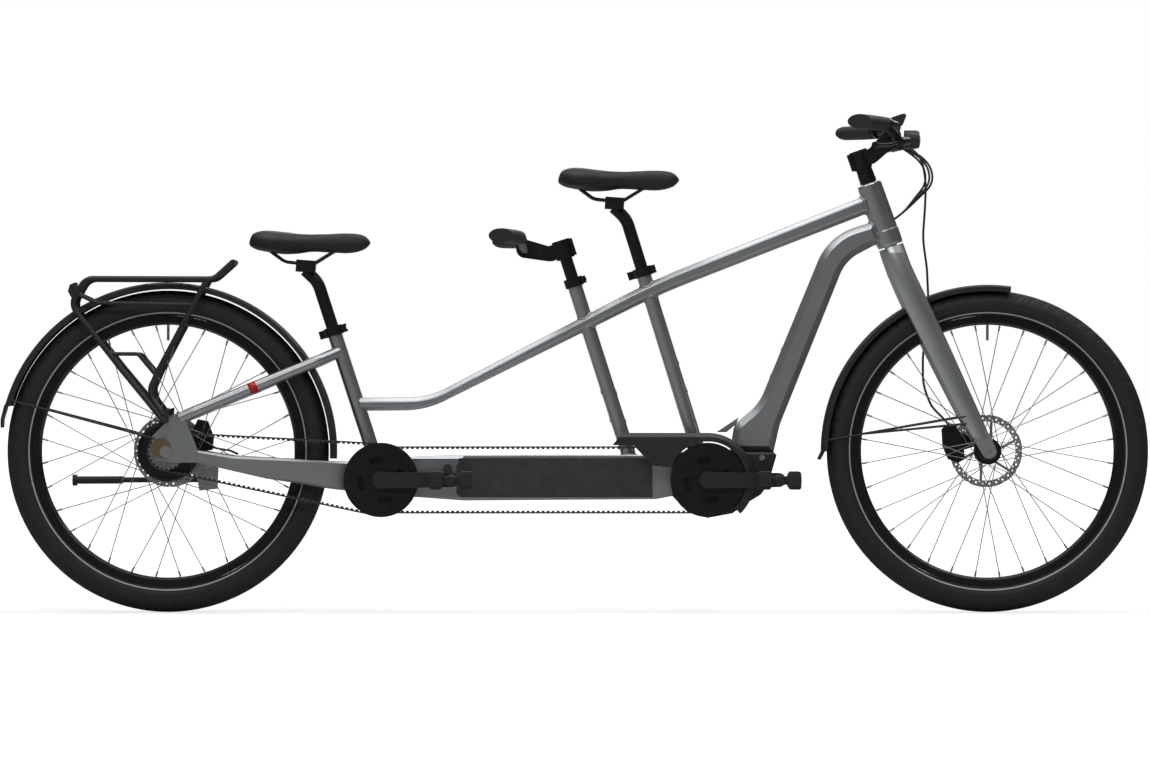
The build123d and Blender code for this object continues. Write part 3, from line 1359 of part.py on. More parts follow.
# ---- fittings of the frame: inserts, bolts, bracket and flap ----
fittings = [bracket + stand_pin] + stay_bolts
for spot, out in bosses:
    insert = rod(spot - out * 8, spot + out * 1.2, boss_radius_out) + rod(spot, spot + out * 1.2, 6.0)
    fittings.append(insert - rod(spot - out * 9, spot + out * 2, boss_bore))
fittings.append(disc(off(captain_bb, 78, 80), -down_tube_width / 2, 5, 6.3))
fittings.append(disc(off(captain_bb, 120, 48), -unit_width / 2, 5, 6.3))
cable_boot = slab(
    [off(captain_bb, 21, 104), off(captain_bb, 69, 136), off(captain_bb, 64, 122), off(captain_bb, 43, 104)],
    14.0, 28.0)
fittings.append(cable_boot - down_tube.part)
write_group(fittings, "frame_fittings")
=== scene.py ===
import bpy
import bmesh
import json
import math
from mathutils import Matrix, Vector
from mathutils.bvhtree import BVHTree


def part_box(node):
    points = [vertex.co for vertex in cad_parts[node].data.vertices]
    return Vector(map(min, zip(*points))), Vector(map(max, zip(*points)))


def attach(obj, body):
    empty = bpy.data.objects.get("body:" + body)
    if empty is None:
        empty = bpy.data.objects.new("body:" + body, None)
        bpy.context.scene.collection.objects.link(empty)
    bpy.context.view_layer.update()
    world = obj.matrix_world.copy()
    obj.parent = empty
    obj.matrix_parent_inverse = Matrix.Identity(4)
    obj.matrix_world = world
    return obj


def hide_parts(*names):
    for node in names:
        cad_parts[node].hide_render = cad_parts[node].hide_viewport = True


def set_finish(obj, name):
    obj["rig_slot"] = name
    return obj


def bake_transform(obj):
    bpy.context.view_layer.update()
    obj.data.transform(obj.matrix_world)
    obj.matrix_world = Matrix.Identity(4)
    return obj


# Tandem e-bike, looked at from its right side. Metres, +X forward, +Y to the riders' left.
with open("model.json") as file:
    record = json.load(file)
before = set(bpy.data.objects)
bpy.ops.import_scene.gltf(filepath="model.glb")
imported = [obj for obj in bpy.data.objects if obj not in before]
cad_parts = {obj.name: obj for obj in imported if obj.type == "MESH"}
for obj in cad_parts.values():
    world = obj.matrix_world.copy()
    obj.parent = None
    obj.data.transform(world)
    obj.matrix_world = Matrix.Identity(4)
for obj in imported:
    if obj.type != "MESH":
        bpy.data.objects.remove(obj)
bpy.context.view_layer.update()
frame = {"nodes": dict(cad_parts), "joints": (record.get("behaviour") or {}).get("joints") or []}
nodes = frame["nodes"]
jointSpots = {j["name"]: Vector(j["pos_m"]) for j in frame["joints"] if "pos_m" in j}
jointAxes = {j["name"]: Vector(j["axis"]).normalized() for j in frame["joints"]}
mm = 0.001
across = Vector((0, 1, 0))


def middleOf(node):
    low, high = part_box(node)
    return (Vector(low) + Vector(high)) / 2


rearAxle = middleOf("rear_rim")
frontAxle = middleOf("front_rim")
stokerAxle = jointSpots["stoker_crank_spin"]
captainAxle = jointSpots["captain_crank_spin"]
steerFoot = jointSpots["steering"]
steerUp = jointAxes["steering"]
steerAhead = Vector((steerUp.z, 0, -steerUp.x))


def near(anchor, x, z, y=0.0):
    return anchor + Vector((x, y, z)) * mm


def alongSteerer(up, ahead=0.0, y=0.0):
    return steerFoot + (steerUp * up + steerAhead * ahead + across * y) * mm


barSpot = alongSteerer(723, 82)
print("frame loaded:", len(nodes), "nodes")


# materials
def newMaterial(name, colour, rough, metal=0.0):
    material = bpy.data.materials.new(name)
    material.use_nodes = True
    shader = material.node_tree.nodes["Principled BSDF"]
    shader.inputs["Base Color"].default_value = (*colour, 1)
    shader.inputs["Roughness"].default_value = rough
    shader.inputs["Metallic"].default_value = metal
    return material, material.node_tree, shader


def addNode(tree, kind, **values):
    node = tree.nodes.new(kind)
    for key, value in values.items():
        setattr(node, key, value)
    return node


def objectPlace(tree, stretch=(1, 1, 1)):
    # the row frame's own coordinates, optionally stretched for brushed marks
    place = addNode(tree, "ShaderNodeTexCoord")
    mapping = addNode(tree, "ShaderNodeMapping")
    mapping.inputs["Scale"].default_value = stretch
    tree.links.new(place.outputs["Object"], mapping.inputs["Vector"])
    return mapping.outputs["Vector"]


def grainNoise(tree, place, scale, detail=4.0):
    noise = addNode(tree, "ShaderNodeTexNoise")
    noise.inputs["Scale"].default_value = scale
    noise.inputs["Detail"].default_value = detail
    tree.links.new(place, noise.inputs["Vector"])
    return noise.outputs["Fac"]


def spreadColour(tree, shader, source, dark, light):
    ramp = addNode(tree, "ShaderNodeValToRGB")
    ramp.color_ramp.elements[0].position = 0.3
    ramp.color_ramp.elements[1].position = 0.7
    ramp.color_ramp.elements[0].color = (*dark, 1)
    ramp.color_ramp.elements[1].color = (*light, 1)
    tree.links.new(source, ramp.inputs["Fac"])
    tree.links.new(ramp.outputs["Color"], shader.inputs["Base Color"])
    return ramp.outputs["Color"]


def spreadRoughness(tree, shader, source, low, high):
    span = addNode(tree, "ShaderNodeMapRange")
    span.inputs["To Min"].default_value = low
    span.inputs["To Max"].default_value = high
    tree.links.new(source, span.inputs["Value"])
    tree.links.new(span.outputs["Result"], shader.inputs["Roughness"])


def addBump(tree, shader, source, strength, depth):
    bump = addNode(tree, "ShaderNodeBump")
    bump.inputs["Strength"].default_value = strength
    bump.inputs["Distance"].default_value = depth
    tree.links.new(source, bump.inputs["Height"])
    tree.links.new(bump.outputs["Normal"], shader.inputs["Normal"])


def grained(name, colour, rough, metal=0.0, spread=0.15, scale=60, fine=900, depth=0.0001,
            stretch=(1, 1, 1)):
    material, tree, shader = newMaterial(name, colour, rough, metal)
    place = objectPlace(tree, stretch)
    broad = grainNoise(tree, place, scale)
    close = grainNoise(tree, place, fine, 2.0)
    dark = [c * (1 - spread) for c in colour]
    light = [min(1.0, c * (1 + spread)) for c in colour]
    spreadColour(tree, shader, broad, dark, light)
    spreadRoughness(tree, shader, broad, max(0.02, rough - 0.06), min(1.0, rough + 0.06))
    addBump(tree, shader, close, 0.35, depth)
    return material


def metallicPaint(name, colour, rough, flake=2400):
    material, tree, shader = newMaterial(name, colour, rough, 0.93)
    place = objectPlace(tree)
    cells = addNode(tree, "ShaderNodeTexVoronoi")
    cells.inputs["Scale"].default_value = flake
    tree.links.new(place, cells.inputs["Vector"])
    spreadColour(tree, shader, cells.outputs["Distance"], [c * 0.88 for c in colour],
                 [c * 1.1 for c in colour])
    spreadRoughness(tree, shader, grainNoise(tree, place, 12), rough - 0.04, rough + 0.05)
    shader.inputs["Coat Weight"].default_value = 0.35
    shader.inputs["Coat Roughness"].default_value = 0.12
    return material


def leather(name, colour):
    material, tree, shader = newMaterial(name, colour, 0.55)
    place = objectPlace(tree)
    cells = addNode(tree, "ShaderNodeTexVoronoi", feature="DISTANCE_TO_EDGE")
    cells.inputs["Scale"].default_value = 620
    tree.links.new(place, cells.inputs["Vector"])
    broad = grainNoise(tree, place, 40)
    spreadColour(tree, shader, broad, [c * 0.75 for c in colour], [c * 1.3 for c in colour])
    spreadRoughness(tree, shader, broad, 0.48, 0.64)
    addBump(tree, shader, cells.outputs["Distance"], 0.5, 0.0003)
    return material


def radiusFrom(tree, centre):
    # distance from a wheel's axle in the side view
    place = addNode(tree, "ShaderNodeTexCoord")
    shift = addNode(tree, "ShaderNodeVectorMath", operation="SUBTRACT")
    shift.inputs[1].default_value = centre
    flatten = addNode(tree, "ShaderNodeVectorMath", operation="MULTIPLY")
    flatten.inputs[1].default_value = (1, 0, 1)
    length = addNode(tree, "ShaderNodeVectorMath", operation="LENGTH")
    tree.links.new(place.outputs["Object"], shift.inputs[0])
    tree.links.new(shift.outputs["Vector"], flatten.inputs[0])
    tree.links.new(flatten.outputs["Vector"], length.inputs[0])
    return length.outputs["Value"]


def bandMask(tree, value, low, high):
    # 1 between two values
    above = addNode(tree, "ShaderNodeMath", operation="GREATER_THAN")
    above.inputs[1].default_value = low
    below = addNode(tree, "ShaderNodeMath", operation="LESS_THAN")
    below.inputs[1].default_value = high
    both = addNode(tree, "ShaderNodeMath", operation="MULTIPLY")
    tree.links.new(value, above.inputs[0])
    tree.links.new(value, below.inputs[0])
    tree.links.new(above.outputs[0], both.inputs[0])
    tree.links.new(below.outputs[0], both.inputs[1])
    return both.outputs[0]


def overlayColour(tree, shader, mask, colour):
    # lays a colour over what the base colour already is
    mix = addNode(tree, "ShaderNodeMix", data_type="RGBA")
    under = shader.inputs["Base Color"]
    tree.links.new(mask, mix.inputs[0])
    if under.is_linked:
        tree.links.new(under.links[0].from_socket, mix.inputs[6])
    else:
        mix.inputs[6].default_value = under.default_value
    mix.inputs[7].default_value = (*colour, 1)
    tree.links.new(mix.outputs[2], under)


framePaint = metallicPaint("frame paint", (0.46, 0.475, 0.485), 0.36)
forkPaint = metallicPaint("fork paint", (0.56, 0.58, 0.59), 0.34)
blackAlloy = grained("black anodised alloy", (0.022, 0.022, 0.024), 0.36, 0.55, scale=90, depth=0.00005)
blackPaint = grained("black powder coat", (0.028, 0.028, 0.030), 0.46, 0.1, scale=120, fine=1500,
                     depth=0.00012)
satinPlastic = grained("satin black plastic", (0.030, 0.031, 0.033), 0.42, scale=50, fine=1800, depth=0.0001)
greyPlastic = grained("dark grey plastic", (0.060, 0.062, 0.066), 0.40, scale=40, fine=1600, depth=0.0001)
fenderCoat = grained("matt black fender", (0.024, 0.024, 0.026), 0.50, scale=30, fine=1400, depth=0.00008)
softRubber = grained("soft rubber", (0.024, 0.024, 0.025), 0.62, scale=80, fine=700, depth=0.00025)
beltRubber = grained("belt rubber", (0.050, 0.051, 0.054), 0.55, scale=90, fine=900, depth=0.0002)
rimCoat = grained("black rim", (0.018, 0.018, 0.020), 0.32, 0.5, scale=60, depth=0.00004)
boltSteel = grained("zinc plated steel", (0.50, 0.50, 0.50), 0.32, 1.0, scale=200, depth=0.00003)
spokeSteel = grained("spoke steel", (0.42, 0.40, 0.39), 0.34, 1.0, scale=70, depth=0.00002)
discSteel = grained("brushed disc steel", (0.58, 0.58, 0.60), 0.30, 1.0, scale=30, fine=600,
                    stretch=(1, 0.05, 1))
gearSteel = grained("sprocket steel", (0.36, 0.36, 0.37), 0.36, 1.0, scale=80, depth=0.00004)
thread = grained("grey thread", (0.20, 0.20, 0.21), 0.75, scale=400, fine=2500, depth=0.0002)
saddleCover = leather("saddle cover", (0.018, 0.018, 0.019))
redBand = grained("red band", (0.62, 0.012, 0.010), 0.34, scale=30, depth=0.00003)
redLens, lensTree, lensShader = newMaterial("red lens", (0.55, 0.01, 0.008), 0.12)
addBump(lensTree, lensShader, grainNoise(lensTree, objectPlace(lensTree), 260, 0.0), 0.6, 0.0006)
lensShader.inputs["Coat Weight"].default_value = 0.8
clearLens, clearTree, clearShader = newMaterial("clear lens", (0.80, 0.82, 0.84), 0.08, 0.3)
addBump(clearTree, clearShader, grainNoise(clearTree, objectPlace(clearTree), 420, 0.0), 0.5, 0.0006)
screenGlass = grained("screen glass", (0.010, 0.012, 0.015), 0.08, scale=15, fine=300, depth=0.00001)

# dropout plates: frame paint with a tan plate, told apart by how far out it stands
dropoutPaint = metallicPaint("dropout plates", (0.50, 0.52, 0.53), 0.32)
dropoutTree = dropoutPaint.node_tree
dropoutShader = dropoutTree.nodes["Principled BSDF"]
sidePlace = addNode(dropoutTree, "ShaderNodeTexCoord")
sideSplit = addNode(dropoutTree, "ShaderNodeSeparateXYZ")
sideWidth = addNode(dropoutTree, "ShaderNodeMath", operation="ABSOLUTE")
dropoutTree.links.new(sidePlace.outputs["Object"], sideSplit.inputs[0])
dropoutTree.links.new(sideSplit.outputs["Y"], sideWidth.inputs[0])
outMask = bandMask(dropoutTree, sideWidth.outputs[0], 0.0841, 0.0891)
overlayColour(dropoutTree, dropoutShader, outMask, (0.36, 0.25, 0.14))


def tyreRubber(name, centre):
    # black rubber with a thin reflective ring beside the rim
    material = grained(name, (0.020, 0.020, 0.021), 0.68, scale=50, fine=800, depth=0.0002)
    tree = material.node_tree
    shader = tree.nodes["Principled BSDF"]
    ring = bandMask(tree, radiusFrom(tree, centre), 0.3030, 0.3058)
    overlayColour(tree, shader, ring, (0.55, 0.56, 0.57))
    return material


dressing = {
    framePaint: ["head_tube", "top_tube", "down_tube", "seat_tubes", "boom_tube", "rear_stays"],
    forkPaint: ["fork"],
    dropoutPaint: ["dropouts"],
    satinPlastic: ["drive_unit", "belt_guard", "display", "headlight", "rear_light"],
    greyPlastic: ["battery"],
    fenderCoat: ["rear_fender", "front_fender"],
    blackPaint: ["rack", "kickstand", "captain_cranks", "stoker_cranks"],
    blackAlloy: [
        "rear_brake", "front_caliper", "brake_perches", "seat_clamps", "stem", "handlebar",
        "captain_seatpost",
        "stoker_seatpost", "stoker_stem", "stoker_handlebar", "captain_clamp_lever", "stoker_clamp_lever",
        "brake_lever_left", "brake_lever_right", "front_hub", "rear_hub", "captain_chainring",
        "stoker_chainrings"],
    rimCoat: ["front_rim", "rear_rim"],
    boltSteel: ["frame_fittings"],
    gearSteel: ["rear_sprocket"],
    discSteel: ["front_disc", "rear_disc"],
    spokeSteel: ["front_spokes", "rear_spokes"],
    beltRubber: ["sync_belt", "drive_belt"],
    softRubber: ["front_brake_hose", "control_cables", "captain_grips", "stoker_grips",
                 "captain_pedal_right",
                 "captain_pedal_left", "stoker_pedal_right", "stoker_pedal_left", "front_tyre", "rear_tyre"],
    saddleCover: ["captain_saddle", "stoker_saddle"],
}
for material, dressed in dressing.items():
    for nodeName in dressed:
        nodes[nodeName].data.materials.clear()
        nodes[nodeName].data.materials.append(material)
print("materials on", sum(len(dressed) for dressed in dressing.values()), "nodes")


# making pieces
def addPiece(name, verts, faces, material, body, slot, smooth=True):
    mesh = bpy.data.meshes.new(name)
    mesh.from_pydata([tuple(v) for v in verts], [], faces)
    mesh.update()
    piece = bpy.data.objects.new(name, mesh)
    bpy.context.scene.collection.objects.link(piece)
    shaper = bmesh.new()
    shaper.from_mesh(mesh)
    bmesh.ops.recalc_face_normals(shaper, faces=shaper.faces)
    shaper.to_mesh(mesh)
    shaper.free()
    for face in mesh.polygons:
        face.use_smooth = smooth
    mesh.materials.append(material)
    if body:
        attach(piece, body)
    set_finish(piece, slot)
    return piece


def gridFaces(rows, columns, closeRows, closeColumns, offset=0):
    # quads over a grid of points, stored row by row
    faces = []
    for row in range(rows if closeRows else rows - 1):
        for column in range(columns if closeColumns else columns - 1):
            nextRow = (row + 1) % rows
            nextColumn = (column + 1) % columns
            faces.append((offset + row * columns + column, offset + row * columns + nextColumn,
                          offset + nextRow * columns + nextColumn, offset + nextRow * columns + column))
    return faces


def cordPiece(name, points, radius, material, body, slot, closed=False, order=3):
    # a round bar on a smooth spline
    curve = bpy.data.curves.new(name, "CURVE")
    curve.dimensions = "3D"
    curve.bevel_depth = radius
    curve.bevel_resolution = 5
    curve.use_fill_caps = True
    spline = curve.splines.new("NURBS")
    spline.points.add(len(points) - 1)
    for slotPoint, point in zip(spline.points, points):
        slotPoint.co = (*point, 1)
    spline.order_u = order
    spline.use_cyclic_u = closed
    spline.use_endpoint_u = not closed
    spline.resolution_u = 6
    piece = bpy.data.objects.new(name, curve)
    bpy.context.scene.collection.objects.link(piece)
    curve.materials.append(material)
    if body:
        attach(piece, body)
    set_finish(piece, slot)
    return piece


def toMesh(piece):
    # the same piece as a plain mesh
    graph = bpy.context.evaluated_depsgraph_get()
    mesh = bpy.data.meshes.new_from_object(piece.evaluated_get(graph))
    made = bpy.data.objects.new(piece.name, mesh)
    bpy.context.scene.collection.objects.link(made)
    made["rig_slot"] = piece["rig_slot"]
    name = piece.name
    bpy.data.objects.remove(piece)
    made.name = name
    return made


def softenEdges(piece, width, segments=2):
    bevel = piece.modifiers.new("soft edges", "BEVEL")
    bevel.width = width
    bevel.segments = segments
    bevel.limit_method = "ANGLE"
    bevel.angle_limit = math.radians(35)
    return piece


def solidBlock(outline, yLow, yHigh):
    # a side-view outline made into a plate: its points and faces
    count = len(outline)
    verts = [Vector((p.x, yLow, p.z)) for p in outline] + [Vector((p.x, yHigh, p.z)) for p in outline]
    faces = [tuple(range(count)), tuple(reversed(range(count, 2 * count)))]
    faces += [(i, (i + 1) % count, count + (i + 1) % count, count + i) for i in range(count)]
    return verts, faces


def joinParts(parts):
    # several (points, faces) lists as one
    verts, faces = [], []
    for partVerts, partFaces in parts:
        start = len(verts)
        verts += list(partVerts)
        faces += [tuple(start + i for i in face) for face in partFaces]
    return verts, faces


# ---------- tyres
tyreShape = {
    "outer": 353.6, "section": 30.9, "rimReach": 298.2, "pitches": 76, "perPitch": 10,
    "rows": 44, "grooveDepth": 1.7, "wall": 3.0,
}


def makeTyre(name, node, body, axle):
    s = tyreShape
    centreRadius = s["outer"] - s["section"]
    steps = s["pitches"] * s["perPitch"]
    reach = math.acos((s["rimReach"] - centreRadius) / s["section"])
    verts = []
    for step in range(steps):
        turn = 2 * math.pi * step / steps
        phase = step / s["perPitch"]
        for row in range(s["rows"]):
            lean = -reach + 2 * reach * row / (s["rows"] - 1)
            size = s["section"]
            edge = abs(lean) / reach
            crown = abs(lean) / 1.05
            if crown < 1:
                wave = (phase + 0.55 * abs(lean) * (1 if lean > 0 else -1) + (0.5 if lean > 0 else 0)) % 1.0
                cut = wave < 0.22 and crown > 0.12
                centreCut = abs(lean) < 0.045
                shoulderCut = 0.60 < crown < 0.68
                if cut or centreCut or shoulderCut:
                    size -= s["grooveDepth"]
            elif edge > 0.62:
                size -= 0.5 + 0.5 * math.cos((edge - 0.62) * 26)
            radius = centreRadius + size * math.cos(lean)
            y = size * math.sin(lean)
            verts.append(axle + Vector((math.cos(turn) * radius, y, math.sin(turn) * radius)) * mm)
    outerCount = len(verts)
    innerRows = 14
    for step in range(steps):
        turn = 2 * math.pi * step / steps
        for row in range(innerRows):
            lean = -reach * 0.985 + 2 * reach * 0.985 * row / (innerRows - 1)
            size = s["section"] - s["wall"]
            radius = centreRadius + size * math.cos(lean)
            y = size * math.sin(lean)
            verts.append(axle + Vector((math.cos(turn) * radius, y, math.sin(turn) * radius)) * mm)
    faces = gridFaces(steps, s["rows"], True, False)
    faces += gridFaces(steps, innerRows, True, False, outerCount)
    for step in range(steps):
        after = (step + 1) % steps
        for outerRow, innerRow in ((0, 0), (s["rows"] - 1, innerRows - 1)):
            faces.append((step * s["rows"] + outerRow, after * s["rows"] + outerRow,
                          outerCount + after * innerRows + innerRow,
                          outerCount + step * innerRows + innerRow))
    tyre = addPiece(name, verts, faces, tyreRubber(name + " rubber", axle), body, "tyre_rubber")
    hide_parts(node)
    return tyre


makeTyre("rear_tyre_treaded", "rear_tyre", "rear_wheel", rearAxle)
makeTyre("front_tyre_treaded", "front_tyre", "front_wheel", frontAxle)
print("tyres done")

# ---------- belts
beltShape = {"pitch": 11.0, "back": 1.8, "inner": -1.0, "tooth": 3.6, "width": 12.0, "samples": 12,
             "tangentRoom": 27.0}


def makeBelt(name, node, first, second, firstTeeth, secondTeeth, lineY, phaseShift):
    b = beltShape
    r1 = firstTeeth * b["pitch"] / (2 * math.pi)
    r2 = secondTeeth * b["pitch"] / (2 * math.pi)
    apart = (second - first).length / mm
    ahead = (second - first).normalized()
    upward = Vector((-ahead.z, 0, ahead.x))
    lean = math.asin((r2 - r1) / apart)
    run = apart * math.cos(lean)
    arc2 = r2 * (math.pi + 2 * lean)
    arc1 = r1 * (math.pi - 2 * lean)
    total = 2 * run + arc1 + arc2
    teeth = round(total / b["pitch"])
    steps = teeth * b["samples"]
    verts = []
    for step in range(steps):
        s = total * step / steps
        straight = 0.0
        if s < run:
            angle = math.pi / 2 + lean
            outward = ahead * math.cos(angle) + upward * math.sin(angle)
            spot = first + outward * r1 * mm + (ahead * math.cos(lean) + upward * math.sin(lean)) * s * mm
            straight = min(s, run - s)
        elif s < run + arc2:
            angle = math.pi / 2 + lean - (s - run) / r2
            outward = ahead * math.cos(angle) + upward * math.sin(angle)
            spot = second + outward * r2 * mm
        elif s < 2 * run + arc2:
            back = s - run - arc2
            angle = -math.pi / 2 - lean
            outward = ahead * math.cos(angle) + upward * math.sin(angle)
            spot = second + outward * r2 * mm - (ahead * math.cos(lean) - upward * math.sin(lean)) * back * mm
            straight = min(back, run - back)
        else:
            angle = -math.pi / 2 - lean - (s - 2 * run - arc2) / r1
            outward = ahead * math.cos(angle) + upward * math.sin(angle)
            spot = first + outward * r1 * mm
        wave = 0.5 + 0.5 * math.cos(2 * math.pi * (s / b["pitch"] - phaseShift))
        tooth = b["tooth"] * min(1.0, wave * 1.5) ** 1.4 if straight > b["tangentRoom"] else 0.0
        inner = spot + outward * (b["inner"] - tooth) * mm
        outer = spot + outward * b["back"] * mm
        half = across * b["width"] / 2 * mm
        middle = across * lineY * mm
        verts += [outer + middle + half, outer + middle - half, inner + middle - half, inner + middle + half]
    belt = addPiece(name, verts, gridFaces(steps, 4, True, True), beltRubber, "frame", "belt_rubber",
                    smooth=False)
    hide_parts(node)
    return belt


makeBelt("sync_belt_toothed", "sync_belt", stokerAxle, captainAxle, 41, 41, -70.0, 0.25)
makeBelt("drive_belt_toothed", "drive_belt", rearAxle, stokerAxle, 24, 45, -56.0, 0.1)
print("belts done")


# ---------- saddles
saddleShape = {
    "top": [(-123, 60), (-116, 78), (-104, 84), (-89, 87), (-60, 85), (-26, 80.5), (11, 79), (50, 80),
            (87, 81.5),
            (118, 79.5), (134, 74), (145, 62)],
    "bottom": [(-123, 54), (-110, 46), (-84, 40), (-50, 35), (-13, 36), (13, 40), (60, 38), (100, 37),
               (131, 45), (145, 58)],
    "half": [(-123, 18), (-118, 46), (-104, 66), (-84, 74), (-62, 71), (-30, 52), (0, 37), (40, 27),
             (90, 22.5), (128, 19.5),
             (140, 13), (145, 4)],
    "stations": 56, "around": 40, "voxel": 4.5, "pressure": 3.0, "cap": 3.0, "frames": 14,
}


def smoothValue(points, x):
    # a Catmull-Rom curve through (x, value) points
    last = len(points) - 1
    place = next((i for i in range(last) if points[i + 1][0] >= x), last - 1)
    x0, x1 = points[place][0], points[place + 1][0]
    v0, v1 = points[place][1], points[place + 1][1]
    before = points[max(0, place - 1)]
    after = points[min(last, place + 2)]
    slope0 = (v1 - before[1]) / (x1 - before[0])
    slope1 = (after[1] - v0) / (after[0] - x0)
    t = min(1.0, max(0.0, (x - x0) / (x1 - x0)))
    span = x1 - x0
    return ((2 * t**3 - 3 * t**2 + 1) * v0 + (t**3 - 2 * t**2 + t) * span * slope0
            + (3 * t**2 - 2 * t**3) * v1 + (t**3 - t**2) * span * slope1)


def saddleForm(head):
    s = saddleShape
    verts = []
    for station in range(s["stations"]):
        share = station / (s["stations"] - 1)
        x = 11 - 134 * math.cos(math.pi * share)
        top = smoothValue(s["top"], x)
        bottom = smoothValue(s["bottom"], x)
        half = smoothValue(s["half"], x)
        middle = bottom + 0.42 * (top - bottom)
        for step in range(s["around"]):
            angle = 2 * math.pi * step / s["around"]
            c, n = math.cos(angle), math.sin(angle)
            y = half * math.copysign(abs(c) ** 0.72, c)
            if n > 0:
                z = middle + (top - middle) * n**0.78
                z -= 2.2 * math.exp(-(y / 7) ** 2) * math.exp(-((x - 10) / 75) ** 2)
            else:
                z = middle - (middle - bottom) * (-n) ** 0.6
                y *= 1 - 0.10 * (-n)
            verts.append(near(head, x, z, y))
    faces = gridFaces(s["stations"], s["around"], False, True)
    faces.append(tuple(range(s["around"])))
    faces.append(tuple(range((s["stations"] - 1) * s["around"], s["stations"] * s["around"])))
    return verts, faces


def puffCover(piece, settings):
    # the padded cover, blown up a little by a cloth run, with each point's travel capped
    bpy.context.view_layer.objects.active = piece
    remesh = piece.modifiers.new("even cloth", "REMESH")
    remesh.mode = "VOXEL"
    remesh.voxel_size = settings["voxel"] * mm
    graph = bpy.context.evaluated_depsgraph_get()
    even = bpy.data.meshes.new_from_object(piece.evaluated_get(graph))
    piece.modifiers.clear()
    piece.data = even
    start = [v.co.copy() for v in even.vertices]
    pins = piece.vertex_groups.new(name="base")
    lowest = min(v.z for v in start)
    pins.add([v.index for v in even.vertices if v.co.z < lowest + 0.014], 1.0, "REPLACE")
    cloth = piece.modifiers.new("cover", "CLOTH")
    cloth.settings.use_pressure = True
    cloth.settings.uniform_pressure_force = settings["pressure"]
    cloth.settings.tension_stiffness = 20
    cloth.settings.bending_stiffness = 4
    cloth.settings.vertex_group_mass = "base"
    cloth.settings.effector_weights.gravity = 0
    cloth.point_cache.frame_start = 1
    cloth.point_cache.frame_end = settings["frames"]
    for number in range(1, settings["frames"] + 1):
        bpy.context.scene.frame_set(number)
    graph = bpy.context.evaluated_depsgraph_get()
    blown = bpy.data.meshes.new_from_object(piece.evaluated_get(graph))
    piece.modifiers.clear()
    piece.data = blown
    bpy.context.scene.frame_set(1)
    for vertex, was in zip(blown.vertices, start):
        step = vertex.co - was
        if step.length > settings["cap"] * mm:
            vertex.co = was + step.normalized() * settings["cap"] * mm
    smoother = piece.modifiers.new("smooth cover", "SMOOTH")
    smoother.factor = 0.5
    smoother.iterations = 4
    finer = piece.modifiers.new("finer cover", "SUBSURF")
    finer.levels = 1
    finer.render_levels = 1
    graph = bpy.context.evaluated_depsgraph_get()
    done = bpy.data.meshes.new_from_object(piece.evaluated_get(graph))
    piece.modifiers.clear()
    piece.data = done
    for face in done.polygons:
        face.use_smooth = True


def stitchRows(name, cover, head, body, lines):
    # short raised stitches laid on the cover along (x, y) lines
    tree = BVHTree.FromObject(cover, bpy.context.evaluated_depsgraph_get())
    parts = []
    stitch = {"pitch": 3.6, "length": 2.4, "radius": 0.42}
    for line in lines:
        walked = 0.0
        spots = []
        for (x0, y0), (x1, y1) in zip(line, line[1:]):
            length = math.hypot(x1 - x0, y1 - y0)
            while walked < length:
                share = walked / length
                spots.append((x0 + (x1 - x0) * share, y0 + (y1 - y0) * share, (x1 - x0) / length,
                              (y1 - y0) / length))
                walked += stitch["pitch"]
            walked -= length
        for x, y, dx, dy in spots:
            hit, normal, _, _ = tree.ray_cast(near(head, x, 130, y), Vector((0, 0, -1)))
            if hit is None:
                continue
            ahead = Vector((dx, dy, 0))
            ahead = (ahead - normal * ahead.dot(normal)).normalized()
            side = normal.cross(ahead)
            verts = []
            for lengthShare, size in ((-0.5, 0.35), (-0.28, 1.0), (0.28, 1.0), (0.5, 0.35)):
                for step in range(6):
                    angle = math.pi / 3 * step
                    arm = (side * math.cos(angle) + normal * math.sin(angle)) * size * stitch["radius"]
                    verts.append(hit + (normal * 0.1 + ahead * lengthShare * stitch["length"] + arm) * mm)
            faces = gridFaces(4, 6, False, True) + [tuple(range(6)), tuple(range(18, 24))]
            parts.append((verts, faces))
    verts, faces = joinParts(parts)
    return addPiece(name, verts, faces, thread, body, "saddle_cover")


for rider in ("captain", "stoker"):
    low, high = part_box(f"{rider}_saddle")
    head = Vector((low[0] + 0.123, 0, low[2] - 0.032))
    verts, faces = saddleForm(head)
    cover = addPiece(f"{rider}_saddle_padded", verts, faces, saddleCover, None, "saddle_cover")
    puffCover(cover, saddleShape)
    cover.data.materials.clear()
    cover.data.materials.append(saddleCover)
    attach(cover, f"{rider}_post")
    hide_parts(f"{rider}_saddle")
    sides = []
    for side in (-1, 1):
        sides.append([(-96, side * 50), (-66, side * 50), (-34, side * 37), (0, side * 24),
                      (40, side * 17.5), (96, side * 14), (126, side * 9)])
        sides.append([(-92, side * 46.5), (-66, side * 46.5), (-34, side * 33.5), (0, side * 20.5),
                      (40, side * 14), (96, side * 10.5),
                      (122, side * 6)])
    stitchRows(f"{rider}_saddle_stitches", cover, head, f"{rider}_post", sides)
print("saddles done")


# ---------- weld beads where the frame's tubes meet
weld = {"radius": 2.6, "steps": 28}


def surfaceOf(node):
    return BVHTree.FromObject(nodes[node], bpy.context.evaluated_depsgraph_get())


